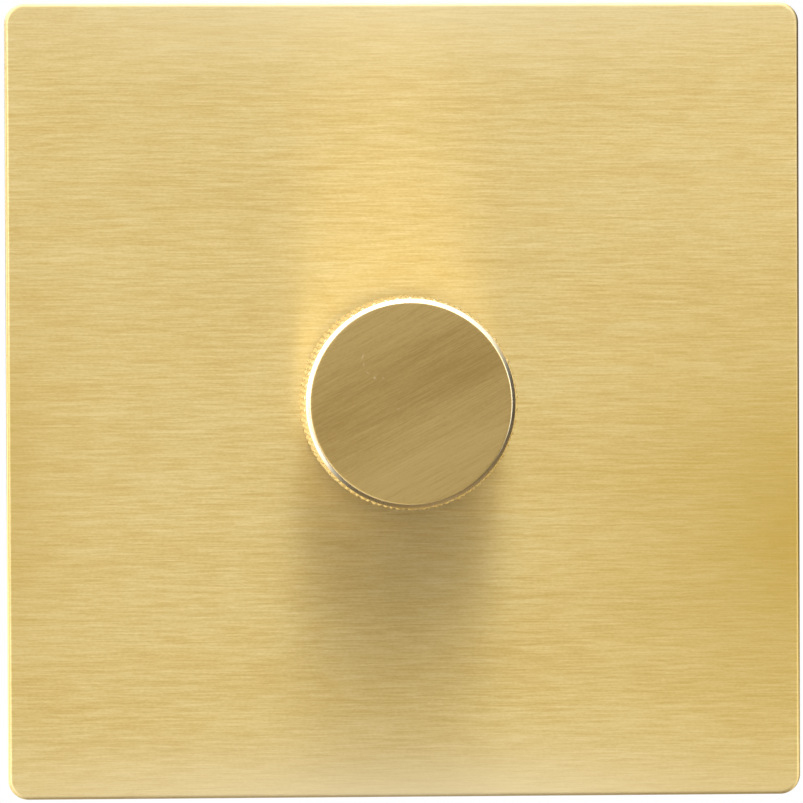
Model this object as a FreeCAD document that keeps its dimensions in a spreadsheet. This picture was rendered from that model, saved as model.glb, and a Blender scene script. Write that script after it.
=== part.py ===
import FreeCAD, Part
import math
import os

import Sketcher

# Rotary dimmer switch on a square brass wall plate, millimetres.
# The origin is the centre of the plate on the wall plane y = 0. The knob looks along -Y, +Z is up,
# and the module behind the plate reaches along +Y into the wall box.

# Driving dimensions: name, value, what it is.
SIZES = (
    ("plate_width", 86.0, "wall plate, side to side"),
    ("plate_height", 86.0, "wall plate, bottom to top"),
    ("plate_sheet", 1.2, "sheet of the wall plate"),
    ("plate_corner", 2.2, "corner radius of the wall plate"),
    ("plate_edge", 0.45, "rounded front edge of the wall plate"),
    ("plate_room", 0.3, "fixing screw's head to the plate's sheet"),
    ("opening_play", 0.82, "plate's opening to the nut's corners"),
    ("carrier_play", 0.1, "carrier to the plate's walls"),
    ("carrier_bar", 9.0, "width of the carrier's bars"),
    ("notch_play", 0.4, "carrier's notches to the fixing screws' heads"),
    ("carrier_corner", 0.8, "outer corner radius of the carrier"),
    ("hook_length", 12.0, "length of a hook along the edge"),
    ("hook_offset", 20.0, "hook's middle above or below centre"),
    ("hook_nib", 1.0, "nib of a hook, along the yoke"),
    ("hook_nib_depth", 0.75, "nib of a hook, towards the wall"),
    ("hook_play", 0.1, "hook to the yoke"),
    ("yoke_margin", 1.6, "mounting yoke to the plate's walls"),
    ("yoke_sheet", 1.2, "sheet of the mounting yoke"),
    ("yoke_stand_off", 1.0, "gap between the yoke's sheet and the wall"),
    ("yoke_corner", 3.0, "corner radius of the yoke"),
    ("fixing_pitch", 60.3, "fixing screws, centre to centre"),
    ("fixing_radius", 1.75, "shank of a fixing screw"),
    ("fixing_neck", 1.5, "neck of a fixing screw, in its slot"),
    ("fixing_length", 25.0, "length of a fixing screw under its head"),
    ("fixing_head", 3.3, "head radius of a fixing screw"),
    ("fixing_head_height", 1.8, "head height of a fixing screw"),
    ("fixing_slot_play", 0.35, "slot's side to the fixing screw"),
    ("fixing_slot_travel", 2.6, "play of a fixing screw along its slot"),
    ("relief_width", 30.0, "relief window in the yoke, side to side"),
    ("relief_height", 4.0, "relief window in the yoke, bottom to top"),
    ("relief_offset", 29.5, "relief window's middle above or below centre"),
    ("bush_radius", 5.0, "threaded bush, outside"),
    ("bush_play", 0.1, "hole round the threaded bush"),
    ("bush_flange", 7.0, "radius of the bush's flange"),
    ("bush_flange_thick", 1.4, "thickness of the bush's flange"),
    ("bush_proud", 0.4, "bush beyond its nut"),
    ("nut_flats", 14.0, "nut, across flats"),
    ("nut_thick", 2.4, "thickness of the nut"),
    ("nut_chamfer", 0.4, "bevel on the nut's corners"),
    ("washer_radius", 8.0, "washer, outside"),
    ("washer_thick", 0.8, "thickness of the washer"),
    ("spindle_radius", 3.0, "spindle"),
    ("spindle_play", 0.04, "spindle to the bush's bore"),
    ("spindle_flat", 1.5, "spindle's flat, from its axis"),
    ("flat_rest", 0.9, "flat past the insert's back"),
    ("spindle_tip", 0.5, "bevel on the spindle's ends"),
    ("clip_radius", 5.2, "retaining clip, outside"),
    ("clip_thick", 0.6, "thickness of the retaining clip"),
    ("clip_groove", 2.4, "radius in the clip's groove"),
    ("clip_mouth", 4.2, "mouth of the retaining clip"),
    ("clip_play", 0.05, "clip to the bush, and clip in its groove"),
    ("knob_gap", 1.6, "knob to the wall plate at rest"),
    ("knob_height", 14.0, "knob, back to face"),
    ("knob_radius", 11.5, "knob, over the knurl's points"),
    ("knob_bevel", 0.5, "bevel round the face, each way"),
    ("knob_band", 0.45, "plain band between the bevel and the knurl"),
    ("lip_step", 0.3, "plain band below the knurl's points"),
    ("knurl_depth", 0.5, "depth of the knurl's grooves"),
    ("knurl_run_out", 0.5, "bevel at each end of the knurl"),
    ("knurl_count", 54.0, "points round the knob"),
    ("knurl_rows", 11.0, "rows of points along the knob"),
    ("knob_wall", 1.8, "knob's hollow to the knurl's grooves"),
    ("knob_top", 2.4, "thickness of the knob's face"),
    ("insert_recess", 0.4, "insert's edge inside the knob's back"),
    ("insert_hub", 4.8, "radius of the insert's hub"),
    ("insert_wall", 1.3, "wall of the insert's rim"),
    ("insert_web", 1.8, "thickness of the insert's web"),
    ("insert_rib", 1.2, "thickness of the insert's ribs"),
    ("insert_ribs", 6.0, "ribs in the insert"),
    ("insert_rib_recess", 2.0, "ribs below the insert's back"),
    ("insert_bore_rest", 0.8, "bore past the spindle's end"),
    ("insert_fit", 0.02, "spindle to the insert's bore"),
    ("press_travel", 1.0, "push of the knob"),
    ("module_side", 3.4, "module to a fixing screw"),
    ("module_height", 50.0, "module, bottom to top"),
    ("module_corner", 2.5, "corner radius of the module"),
    ("module_wall", 1.6, "wall of the rear housing"),
    ("sink_thick", 2.0, "thickness of the heat sink"),
    ("post_inset", 4.0, "case screws to the module's sides"),
    ("post_radius", 3.2, "posts in the rear housing"),
    ("case_screw_radius", 1.25, "shank of a case screw"),
    ("case_screw_head", 2.3, "head radius of a case screw"),
    ("case_screw_head_height", 1.4, "head height of a case screw"),
    ("case_screw_recess", 1.6, "recess over a case screw"),
    ("case_screw_play", 0.2, "case screw's head to its recess"),
    ("vent_width", 1.6, "vent slot"),
    ("vent_length", 18.0, "vent slot, side to side"),
    ("vent_pitch", 4.0, "vent slots, centre to centre"),
    ("vent_count", 6.0, "vent slots in the back"),
    ("vent_start", -6.0, "lowest vent slot above centre"),
    ("pot_radius", 8.5, "control's case, outside"),
    ("pot_wall", 0.8, "control's case, wall"),
    ("pot_depth", 9.0, "control's case, front to back"),
    ("pot_play", 0.35, "control's case to the pushed clip"),
    ("pot_hole_play", 0.4, "spindle to the control's case"),
    ("rotor_side", 0.5, "wiper rotor's rim to the control's case"),
    ("rotor_thick", 2.2, "thickness of the wiper rotor"),
    ("rotor_gap", 0.2, "wiper rotor to the control's case"),
    ("rotor_fit", 0.05, "wiper rotor to the spindle"),
    ("contact_inset", 0.6, "wiper contact to the rotor's rim"),
    ("contact_width", 2.0, "wiper contact, across its ring"),
    ("contact_thick", 0.3, "thickness of the wiper contact"),
    ("contact_gap", 0.05, "wiper contact to the track"),
    ("contact_mouth", 3.0, "gap in the wiper contact's ring"),
    ("track_inset", 0.2, "resistive track inside the contact's edges"),
    ("track_thick", 0.12, "thickness of the resistive track"),
    ("track_mouth", 5.0, "gap in the resistive track"),
    ("wafer_thick", 1.0, "thickness of the track's wafer"),
    ("rear_cover_thick", 1.0, "thickness of the control's back"),
    ("plunger_gap", 0.05, "plunger to the spindle's end"),
    ("plunger_radius", 4.0, "head of the switch plunger"),
    ("plunger_head", 1.2, "thickness of the plunger's head"),
    ("plunger_stem", 1.6, "radius of the plunger's stem"),
    ("plunger_tail", 0.6, "plunger's stem past the control's back"),
    ("stem_play", 0.2, "plunger's stem to its hole"),
    ("spring_radius", 2.6, "return spring, mean radius"),
    ("spring_wire", 0.2, "radius of the spring's wire"),
    ("spring_turns", 4.0, "turns of the return spring"),
    ("spring_sides", 8.0, "flat sides round the spring's wire"),
    ("spring_steps", 20.0, "straight steps in a turn of the spring"),
    ("leaf_width", 3.0, "width of a switch contact"),
    ("leaf_thick", 0.3, "thickness of a switch contact"),
    ("leaf_inset", 1.55, "switch contact to the control's wall"),
    ("leaf_reach", 1.4, "foot of a switch contact"),
    ("board_play", 1.4, "circuit board to the housing's walls"),
    ("board_thick", 1.6, "thickness of the circuit board"),
    ("board_post_play", 0.4, "board's notch to a post"),
    ("choke_x", -13.2, "choke, side to side"),
    ("choke_z", -8.0, "choke, bottom to top"),
    ("choke_flange", 4.4, "radius of the choke's flanges"),
    ("choke_flange_thick", 1.2, "thickness of the choke's flanges"),
    ("choke_core", 2.0, "radius of the choke's core"),
    ("choke_height", 9.0, "height of the choke"),
    ("choke_wire", 0.45, "radius of the choke's wire"),
    ("choke_turns", 7.0, "turns along the choke"),
    ("film_x", 14.4, "film capacitor, side to side"),
    ("film_z", -10.0, "film capacitor, bottom to top"),
    ("film_width", 6.0, "film capacitor, side to side"),
    ("film_length", 13.0, "film capacitor, bottom to top"),
    ("film_height", 10.5, "film capacitor, off the board"),
    ("film_edge", 0.6, "rounded edges of the film capacitor"),
    ("can_gap", 2.1, "electrolytic capacitor to the control's case"),
    ("can_radius", 3.6, "electrolytic capacitor"),
    ("can_height", 11.0, "electrolytic capacitor, off the board"),
    ("can_groove", 0.35, "depth of the can's rolled groove"),
    ("transistor_pitch", 25.0, "power transistors, centre to centre"),
    ("transistor_width", 8.0, "power transistor, side to side"),
    ("tab_top", 17.4, "top of a power transistor's tab"),
    ("tab_length", 5.0, "free part of the tab"),
    ("tab_thick", 1.1, "thickness of the tab"),
    ("case_length", 7.0, "power transistor's case, bottom to top"),
    ("case_thick", 3.0, "power transistor's case, front to back"),
    ("lead_width", 0.8, "lead of a power transistor"),
    ("lead_pitch", 2.29, "leads, centre to centre"),
    ("lead_drop", 1.5, "lead below the case"),
    ("tab_screw_radius", 1.4, "shank of a tab's screw"),
    ("tab_screw_head", 2.3, "head radius of a tab's screw"),
    ("tab_screw_head_height", 1.6, "head height of a tab's screw"),
    ("fuse_length", 14.0, "fuse, side to side"),
    ("fuse_radius", 2.2, "fuse's tube"),
    ("fuse_cap", 2.6, "radius of the fuse's caps"),
    ("fuse_cap_length", 4.0, "length of a fuse's cap"),
    ("fuse_gap", 2.4, "fuse to the control's case"),
    ("block_side", 1.1, "terminal block beside its outer terminals"),
    ("block_rib", 1.2, "terminal block between its terminals"),
    ("block_height", 12.4, "terminal block, bottom to top"),
    ("block_front", 0.9, "terminal block's web in front of the terminals"),
    ("block_play", 0.1, "terminal block to the rear housing"),
    ("block_rest", 1.4, "back of the module past its terminals"),
    ("terminal_width", 6.4, "brass terminal, side to side"),
    ("terminal_length", 8.4, "brass terminal, bottom to top"),
    ("terminal_depth", 6.7, "brass terminal, front to back"),
    ("terminal_wall", 0.9, "brass in front of the wire"),
    ("wire_radius", 2.0, "wire hole of a terminal"),
    ("terminal_screw_radius", 1.5, "shank of a terminal's screw"),
    ("terminal_screw_head", 2.6, "head radius of a terminal's screw"),
    ("terminal_screw_head_height", 1.4, "head height of a terminal's screw"),
    ("terminal_screw_tip", 0.1, "screw's tip clear of the wire hole"),
    ("earth_inset", 1.0, "earth terminal to the yoke's side"),
    ("earth_z", -12.6, "lower end of the earth terminal"),
    ("slot_width", 0.9, "driver slot in a screw"),
    ("slot_depth", 0.7, "depth of a driver slot"),
)

DOC = FreeCAD.newDocument("rotary_dimmer_switch")
SHEET = DOC.addObject("Spreadsheet::Sheet", "sizes")
for row, (name, size, meaning) in enumerate(SIZES, start=1):
    SHEET.set(f"A{row}", meaning)
    SHEET.set(f"B{row}", str(size))
    SHEET.setAlias(f"B{row}", name)
DOC.recompute()

# Sizes that more than one piece shares, as formulas of the sheet.
YOKE_WIDTH = "(sizes.plate_width - 2 * (sizes.plate_sheet + sizes.yoke_margin))"
YOKE_HEIGHT = "(sizes.plate_height - 2 * (sizes.plate_sheet + sizes.yoke_margin))"
MODULE_WIDTH = "(sizes.fixing_pitch - 2 * (sizes.fixing_radius + sizes.module_side))"
POST_X = f"({MODULE_WIDTH} / 2 - sizes.post_inset)"
POST_Z = "(sizes.module_height / 2 - sizes.post_inset)"
KNURL_ROOT = "(sizes.knob_radius - sizes.knurl_depth)"
KNOB_LIP = "(sizes.knob_radius - sizes.lip_step)"
KNOB_CAVITY = f"({KNURL_ROOT} - sizes.knob_wall)"
ROTOR_RADIUS = "(sizes.pot_radius - sizes.pot_wall - sizes.rotor_side)"
CONTACT_OUTER = f"({ROTOR_RADIUS} - sizes.contact_inset)"
CONTACT_INNER = f"({CONTACT_OUTER} - sizes.contact_width)"
LEAF_OFFSET = "(sizes.pot_radius - sizes.pot_wall - sizes.leaf_inset - sizes.leaf_thick / 2)"
TERMINAL_PITCH = "(sizes.terminal_width + sizes.block_rib)"
BLOCK_WIDTH = f"(2 * {TERMINAL_PITCH} + sizes.terminal_width + 2 * sizes.block_side)"

# Places along Y that more than one piece shares, as formulas of the sheet.
YOKE_BACK = "(-sizes.yoke_stand_off)"
YOKE_FRONT = f"({YOKE_BACK} - sizes.yoke_sheet)"
PLATE_INSIDE = f"({YOKE_FRONT} - sizes.fixing_head_height - sizes.plate_room)"
PLATE_FRONT = f"({PLATE_INSIDE} - sizes.plate_sheet)"
WASHER_FRONT = f"({YOKE_FRONT} - sizes.washer_thick)"
NUT_FRONT = f"({WASHER_FRONT} - sizes.nut_thick)"
BUSH_FRONT = f"({NUT_FRONT} - sizes.bush_proud)"
SINK_BACK = f"({YOKE_BACK} + sizes.sink_thick)"
BUSH_BACK = f"({SINK_BACK} + sizes.bush_flange_thick)"
CLIP_FRONT = f"({BUSH_BACK} + sizes.clip_play)"
CLIP_BACK = f"({CLIP_FRONT} + sizes.clip_thick)"
POT_FRONT = f"({CLIP_BACK} + sizes.press_travel + sizes.pot_play)"
ROTOR_FRONT = f"({POT_FRONT} + sizes.pot_wall + sizes.rotor_gap)"
ROTOR_BACK = f"({ROTOR_FRONT} + sizes.rotor_thick)"
CONTACT_BACK = f"({ROTOR_BACK} + sizes.contact_thick)"
TRACK_FRONT = f"({CONTACT_BACK} + sizes.contact_gap)"
WAFER_FRONT = f"({TRACK_FRONT} + sizes.track_thick)"
WAFER_BACK = f"({WAFER_FRONT} + sizes.wafer_thick)"
PLUNGER_FRONT = f"({WAFER_BACK} + sizes.plunger_gap)"
PLUNGER_HEAD_BACK = f"({PLUNGER_FRONT} + sizes.plunger_head)"
POT_BACK = f"({POT_FRONT} + sizes.pot_depth)"
BOARD_FRONT = f"({POT_BACK} + sizes.rear_cover_thick)"
BOARD_BACK = f"({BOARD_FRONT} + sizes.board_thick)"
SPINDLE_BACK = f"({PLUNGER_FRONT} - sizes.plunger_gap)"
KNOB_BACK = f"({PLATE_FRONT} - sizes.knob_gap)"
KNOB_FRONT = f"({KNOB_BACK} - sizes.knob_height)"
CAVITY_FRONT = f"({KNOB_FRONT} + sizes.knob_top)"
INSERT_BACK = f"({KNOB_BACK} - sizes.insert_recess)"
SPINDLE_FRONT = f"({CAVITY_FRONT} + sizes.insert_web + sizes.insert_bore_rest)"
KNURL_FRONT = f"({KNOB_FRONT} + sizes.knob_bevel + sizes.knob_band)"
TERMINAL_FRONT = f"({BOARD_BACK} + sizes.block_front)"
MODULE_BACK = f"({TERMINAL_FRONT} + sizes.terminal_depth + sizes.block_rest)"
MODULE_FOOT = "(-sizes.module_height / 2)"

NODES = []


def value(formula):
    """The number that a formula of the sheet has now."""
    return float(SHEET.evalExpression(formula))


def node(piece, label):
    """Names a finished piece and keeps it for the export."""
    piece.Label = label
    NODES.append(piece)
    return piece


def new_body(name):
    """An empty body that features are added to."""
    return DOC.addObject("PartDesign::Body", name)


def sketch_on(body, role, y="0"):
    """An empty sketch on one of the body's planes; a sketch on XZ lies at the place y."""
    sketch = body.newObject("Sketcher::SketchObject", f"{body.Name}_sketch")
    plane = next(item for item in body.Origin.OriginFeatures if item.Role == role)
    sketch.AttachmentSupport = [(plane, "")]
    sketch.MapMode = "FlatFace"
    if role == "XZ_Plane":
        sketch.setExpression("AttachmentOffset.Base.z", f"-({y})")
    return sketch


def tie(sketch, kind, first, second, formula):
    """Ties a point of a sketch to a formula, measured from the sketch's origin."""
    index = sketch.addConstraint(Sketcher.Constraint(kind, -1, 1, first, second, value(formula)))
    sketch.setExpression(f"Constraints[{index}]", formula)


def outline(sketch, corners):
    """A closed outline through corners, each a pair of formulas."""
    first = sketch.GeometryCount
    points = [FreeCAD.Vector(value(across), value(up), 0) for across, up in corners]
    count = len(points)
    for index in range(count):
        sketch.addGeometry(Part.LineSegment(points[index], points[(index + 1) % count]), False)
    for index in range(count):
        following = first + (index + 1) % count
        sketch.addConstraint(Sketcher.Constraint("Coincident", first + index, 2, following, 1))
    for index, (across, up) in enumerate(corners):
        tie(sketch, "DistanceX", first + index, 1, across)
        tie(sketch, "DistanceY", first + index, 1, up)


def rectangle(sketch, width, height, across="0", up="0"):
    """A rectangle of the given size about a middle, all formulas."""
    left = f"{across} - ({width}) / 2"
    right = f"{across} + ({width}) / 2"
    low = f"{up} - ({height}) / 2"
    high = f"{up} + ({height}) / 2"
    outline(sketch, ((left, low), (right, low), (right, high), (left, high)))


def circle(sketch, radius, across="0", up="0"):
    """A circle of the given radius about a middle, all formulas."""
    middle = FreeCAD.Vector(value(across), value(up), 0)
    index = sketch.addGeometry(Part.Circle(middle, FreeCAD.Vector(0, 0, 1), value(radius)), False)
    tie(sketch, "DistanceX", index, 3, across)
    tie(sketch, "DistanceY", index, 3, up)
    size = sketch.addConstraint(Sketcher.Constraint("Radius", index, value(radius)))
    sketch.setExpression(f"Constraints[{size}]", radius)


def upright_slot(sketch, radius, travel, across):
    """A slot with round ends that runs up and down about a middle, all formulas."""
    size, half, middle = value(radius), value(travel) / 2, value(across)
    left, right = middle - size, middle + size
    normal = FreeCAD.Vector(0, 0, 1)
    arcs = []
    for level, start in ((half, 0), (-half, math.pi)):
        whole = Part.Circle(FreeCAD.Vector(middle, level, 0), normal, size)
        arcs.append(sketch.addGeometry(Part.ArcOfCircle(whole, start, start + math.pi), False))
    upper, lower = arcs
    sides = []
    for place, start, end in ((left, half, -half), (right, -half, half)):
        ends = (FreeCAD.Vector(place, start, 0), FreeCAD.Vector(place, end, 0))
        sides.append(sketch.addGeometry(Part.LineSegment(*ends), False))
    for first, second in ((upper, sides[0]), (sides[0], lower), (lower, sides[1]), (sides[1], upper)):
        sketch.addConstraint(Sketcher.Constraint("Tangent", first, 2, second, 1))
    sketch.addConstraint(Sketcher.Constraint("Equal", upper, lower))
    for arc, sign in ((upper, ""), (lower, "-")):
        tie(sketch, "DistanceX", arc, 3, across)
        tie(sketch, "DistanceY", arc, 3, f"{sign}{travel} / 2")
    index = sketch.addConstraint(Sketcher.Constraint("Radius", upper, size))
    sketch.setExpression(f"Constraints[{index}]", radius)


def pad(body, sketch, length):
    """Adds the sketch to the body, from its place towards -Y."""
    feature = body.newObject("PartDesign::Pad", f"{body.Name}_pad")
    feature.Profile = sketch
    feature.setExpression("Length", length)
    DOC.recompute()
    return feature


def pocket(body, sketch, depth, forwards=False):
    """Cuts the sketch from the body, from its place towards +Y, or -Y when forwards."""
    before = body.Shape.Volume
    feature = body.newObject("PartDesign::Pocket", f"{body.Name}_pocket")
    feature.Profile = sketch
    feature.Reversed = forwards
    feature.setExpression("Length", depth)
    DOC.recompute()
    if body.Shape.Volume >= before:
        raise ValueError(f"a pocket of {body.Name} cuts nothing")
    return feature


def slab(name, front, back, width, height):
    """A body that starts as a rectangular slab between two places along Y."""
    body = new_body(name)
    sketch = sketch_on(body, "XZ_Plane", back)
    rectangle(sketch, width, height)
    pad(body, sketch, f"{back} - {front}")
    return body


def turned(name, profile):
    """A body turned about the Y axis from a profile of (radius, y) formulas."""
    body = new_body(name)
    sketch = sketch_on(body, "XY_Plane")
    outline(sketch, profile)
    feature = body.newObject("PartDesign::Revolution", f"{name}_turning")
    feature.Profile = sketch
    feature.ReferenceAxis = (sketch, ["V_Axis"])
    feature.Angle = 360
    DOC.recompute()
    return body


def round_edges(body, radius, chosen):
    """Rounds the edges of the body's last feature that the test chosen accepts."""
    base = body.Tip
    names = [f"Edge{index}" for index, edge in enumerate(base.Shape.Edges, start=1) if chosen(edge)]
    feature = body.newObject("PartDesign::Fillet", f"{body.Name}_rounding")
    feature.Base = (base, names)
    feature.setExpression("Radius", radius)
    DOC.recompute()


def runs_along_y(edge):
    """True for a straight edge that runs front to back."""
    start, end = edge.firstVertex().Point, edge.lastVertex().Point
    return math.hypot(start.x - end.x, start.z - end.z) < 1e-6 and abs(start.y - end.y) > 1e-6


def lies_at_y(place):
    """A test for edges that lie wholly in one plane across Y."""
    level = value(place)
    return lambda edge: edge.BoundBox.YLength < 1e-6 and abs(edge.BoundBox.YMin - level) < 1e-6


def place_at(piece, across, up):
    """Moves a piece sideways and up by formulas."""
    piece.setExpression("Placement.Base.x", across)
    piece.setExpression("Placement.Base.z", up)
    return piece


def ring(name, outer, inner, front, thick):
    """A flat ring about the Y axis."""
    back = f"({front} + {thick})"
    return turned(name, ((inner, front), (outer, front), (outer, back), (inner, back)))


def cut_mouth(body, front, thick, width, reach):
    """Cuts a straight mouth from a ring's axis down past its edge."""
    sketch = sketch_on(body, "XZ_Plane", front)
    rectangle(sketch, width, reach, "0", f"-({reach}) / 2")
    pocket(body, sketch, thick)


def cut_flat(body, front, length):
    """Cuts the spindle's flat over a length that starts at a place along Y."""
    sketch = sketch_on(body, "XZ_Plane", front)
    side = "2 * sizes.spindle_radius"
    rectangle(sketch, side, side, "sizes.spindle_flat + sizes.spindle_radius")
    pocket(body, sketch, length)


def cut_d_bore(body, front, length, fit):
    """Cuts a hole with one flat side, for the spindle with a fit round it."""
    sketch = sketch_on(body, "XZ_Plane", front)
    radius = value(f"sizes.spindle_radius + {fit}")
    flat = value(f"sizes.spindle_flat + {fit}")
    side = math.sqrt(radius ** 2 - flat ** 2)
    angle = math.atan2(side, flat)
    whole = Part.Circle(FreeCAD.Vector(0, 0, 0), FreeCAD.Vector(0, 0, 1), radius)
    arc = sketch.addGeometry(Part.ArcOfCircle(whole, angle, 2 * math.pi - angle), False)
    ends = (FreeCAD.Vector(flat, -side, 0), FreeCAD.Vector(flat, side, 0))
    chord = sketch.addGeometry(Part.LineSegment(*ends), False)
    sketch.addConstraint(Sketcher.Constraint("Coincident", arc, 3, -1, 1))
    sketch.addConstraint(Sketcher.Constraint("Coincident", arc, 2, chord, 1))
    sketch.addConstraint(Sketcher.Constraint("Coincident", chord, 2, arc, 1))
    sketch.addConstraint(Sketcher.Constraint("Vertical", chord))
    tie(sketch, "DistanceX", chord, 1, f"sizes.spindle_flat + {fit}")
    size = sketch.addConstraint(Sketcher.Constraint("Radius", arc, radius))
    sketch.setExpression(f"Constraints[{size}]", f"sizes.spindle_radius + {fit}")
    pocket(body, sketch, length)


def cut_driver_slot(body, top, head, heads_back):
    """Cuts the slot for a screwdriver across a screw's head."""
    sketch = sketch_on(body, "XZ_Plane", top)
    rectangle(sketch, f"2 * {head}", "sizes.slot_width")
    pocket(body, sketch, "sizes.slot_depth", forwards=heads_back)


def screw(name, kind, seat, length, heads_back):
    """A slotted screw on the Y axis, its head towards +Y or -Y of the place it seats on."""
    sign = "+" if heads_back else "-"
    other = "-" if heads_back else "+"
    shank, head, height = (f"sizes.{kind}{part}" for part in ("_radius", "_head", "_head_height"))
    top = f"({seat} {sign} {height})"
    tip = f"({seat} {other} {length})"
    profile = (("0", top), (head, top), (head, seat), (shank, seat), (shank, tip), ("0", tip))
    body = turned(name, profile)
    cut_driver_slot(body, top, head, heads_back)
    return body


def group(label, pieces):
    """Like pieces that share one node."""
    compound = DOC.addObject("Part::Compound", label)
    compound.Links = pieces
    return node(compound, label)


def box(name, corner, size):
    """A box from its lowest corner, both given as formulas."""
    piece = DOC.addObject("Part::Box", name)
    for axis, formula in zip("xyz", corner):
        piece.setExpression(f"Placement.Base.{axis}", formula)
    for side, formula in zip(("Length", "Width", "Height"), size):
        piece.setExpression(side, formula)
    return piece


def rod(name, radius, start, length, direction):
    """A cylinder from a start given as formulas, along a fixed direction."""
    piece = DOC.addObject("Part::Cylinder", name)
    turn = FreeCAD.Rotation(FreeCAD.Vector(0, 0, 1), direction)
    piece.Placement = FreeCAD.Placement(FreeCAD.Vector(0, 0, 0), turn)
    for axis, formula in zip("xyz", start):
        piece.setExpression(f"Placement.Base.{axis}", formula)
    piece.setExpression("Radius", radius)
    piece.setExpression("Height", length)
    return piece


def cut(name, base, *tools):
    """A piece less each of the tools."""
    for index, tool in enumerate(tools):
        result = DOC.addObject("Part::Cut", f"{name}_cut_{index}")
        result.Base = base
        result.Tool = tool
        base = result
    return base


def fused(name, *pieces):
    """Pieces made into one."""
    result = DOC.addObject("Part::MultiFuse", name)
    result.Shapes = list(pieces)
    return result


SIDEWAYS = FreeCAD.Vector(1, 0, 0)
BACKWARDS = FreeCAD.Vector(0, 1, 0)
UPWARDS = FreeCAD.Vector(0, 0, 1)


def faceplate():
    """Pressed brass plate: a shallow pan with an opening for the nut."""
    body = slab("faceplate", PLATE_FRONT, "0", "sizes.plate_width", "sizes.plate_height")
    round_edges(body, "sizes.plate_corner", runs_along_y)
    round_edges(body, "sizes.plate_edge", lies_at_y(PLATE_FRONT))
    inside = sketch_on(body, "XZ_Plane", PLATE_INSIDE)
    width = "sizes.plate_width - 2 * sizes.plate_sheet"
    height = "sizes.plate_height - 2 * sizes.plate_sheet"
    rectangle(inside, width, height)
    pocket(body, inside, f"-{PLATE_INSIDE}")
    opening = sketch_on(body, "XZ_Plane", PLATE_FRONT)
    circle(opening, "sizes.nut_flats / sqrt(3) + sizes.opening_play")
    pocket(body, opening, "sizes.plate_sheet")
    node(body, "faceplate")


def clip_frame():
    """Moulded carrier inside the plate: hooks that catch the yoke, and notches for the screws' heads."""
    lost = "2 * (sizes.plate_sheet + sizes.carrier_play)"
    width = f"(sizes.plate_width - {lost})"
    height = f"(sizes.plate_height - {lost})"
    body = slab("carrier_blank", PLATE_INSIDE, YOKE_FRONT, width, height)
    round_edges(body, "sizes.carrier_corner", runs_along_y)
    window = sketch_on(body, "XZ_Plane", PLATE_INSIDE)
    bars = "2 * sizes.carrier_bar"
    thick = f"{YOKE_FRONT} - {PLATE_INSIDE}"
    rectangle(window, f"{width} - {bars}", f"{height} - {bars}")
    pocket(body, window, thick)
    edge = f"({YOKE_WIDTH} / 2)"
    arm_thick = "(sizes.yoke_margin - sizes.carrier_play - sizes.hook_play)"
    nib_back = f"({YOKE_BACK} + sizes.hook_play + sizes.hook_nib_depth)"
    nib_span = "(sizes.hook_nib + sizes.hook_play)"
    for across in (-1, 1):
        for up in (-1, 1):
            level = f"{up} * sizes.hook_offset"
            arm = sketch_on(body, "XZ_Plane", nib_back)
            middle = f"{across} * ({edge} + sizes.hook_play + {arm_thick} / 2)"
            rectangle(arm, arm_thick, "sizes.hook_length", middle, level)
            pad(body, arm, f"{nib_back} - {YOKE_FRONT}")
            nib = sketch_on(body, "XZ_Plane", nib_back)
            middle = f"{across} * ({edge} + sizes.hook_play - {nib_span} / 2)"
            rectangle(nib, nib_span, "sizes.hook_length", middle, level)
            pad(body, nib, "sizes.hook_nib_depth")
    notches = []
    for side, across in (("left", -1), ("right", 1)):
        start = (f"{across} * sizes.fixing_pitch / 2", PLATE_INSIDE, "0")
        radius = "sizes.fixing_head + sizes.notch_play"
        notches.append(rod(f"head_notch_{side}", radius, start, thick, BACKWARDS))
    node(cut("clip_frame", body, *notches), "clip_frame")


def mounting_yoke():
    """Steel yoke with folded top and bottom edges, slots for the fixing screws and relief windows."""
    body = slab("mounting_yoke", YOKE_FRONT, YOKE_BACK, YOKE_WIDTH, YOKE_HEIGHT)
    round_edges(body, "sizes.yoke_corner", runs_along_y)
    for up in (-1, 1):
        flange = sketch_on(body, "XZ_Plane", "0")
        level = f"{up} * ({YOKE_HEIGHT} - sizes.yoke_sheet) / 2"
        rectangle(flange, f"{YOKE_WIDTH} - 2 * sizes.yoke_corner", "sizes.yoke_sheet", "0", level)
        pad(body, flange, "sizes.yoke_stand_off")
    holes = sketch_on(body, "XZ_Plane", YOKE_FRONT)
    circle(holes, "sizes.bush_radius + sizes.bush_play")
    for up in (-1, 1):
        level = f"{up} * sizes.relief_offset"
        rectangle(holes, "sizes.relief_width", "sizes.relief_height", "0", level)
    radius = "sizes.fixing_radius + sizes.fixing_slot_play"
    for across in (-1, 1):
        upright_slot(holes, radius, "sizes.fixing_slot_travel", f"{across} * sizes.fixing_pitch / 2")
    pocket(body, holes, "sizes.yoke_sheet")
    node(body, "mounting_yoke")


def fixing_screws():
    """Two screws that hold the yoke to the wall box, each with a neck where it stands in its slot."""
    top = f"({YOKE_FRONT} - sizes.fixing_head_height)"
    tip = f"({YOKE_FRONT} + sizes.fixing_length)"
    profile = (
        ("0", top),
        ("sizes.fixing_head", top),
        ("sizes.fixing_head", YOKE_FRONT),
        ("sizes.fixing_neck", YOKE_FRONT),
        ("sizes.fixing_neck", YOKE_BACK),
        ("sizes.fixing_radius", YOKE_BACK),
        ("sizes.fixing_radius", tip),
        ("0", tip),
    )
    pieces = []
    for side, across in (("left", -1), ("right", 1)):
        piece = turned(f"fixing_screw_{side}", profile)
        cut_driver_slot(piece, top, "sizes.fixing_head", False)
        pieces.append(place_at(piece, f"{across} * sizes.fixing_pitch / 2", "0"))
    group("fixing_screws", pieces)


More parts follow.
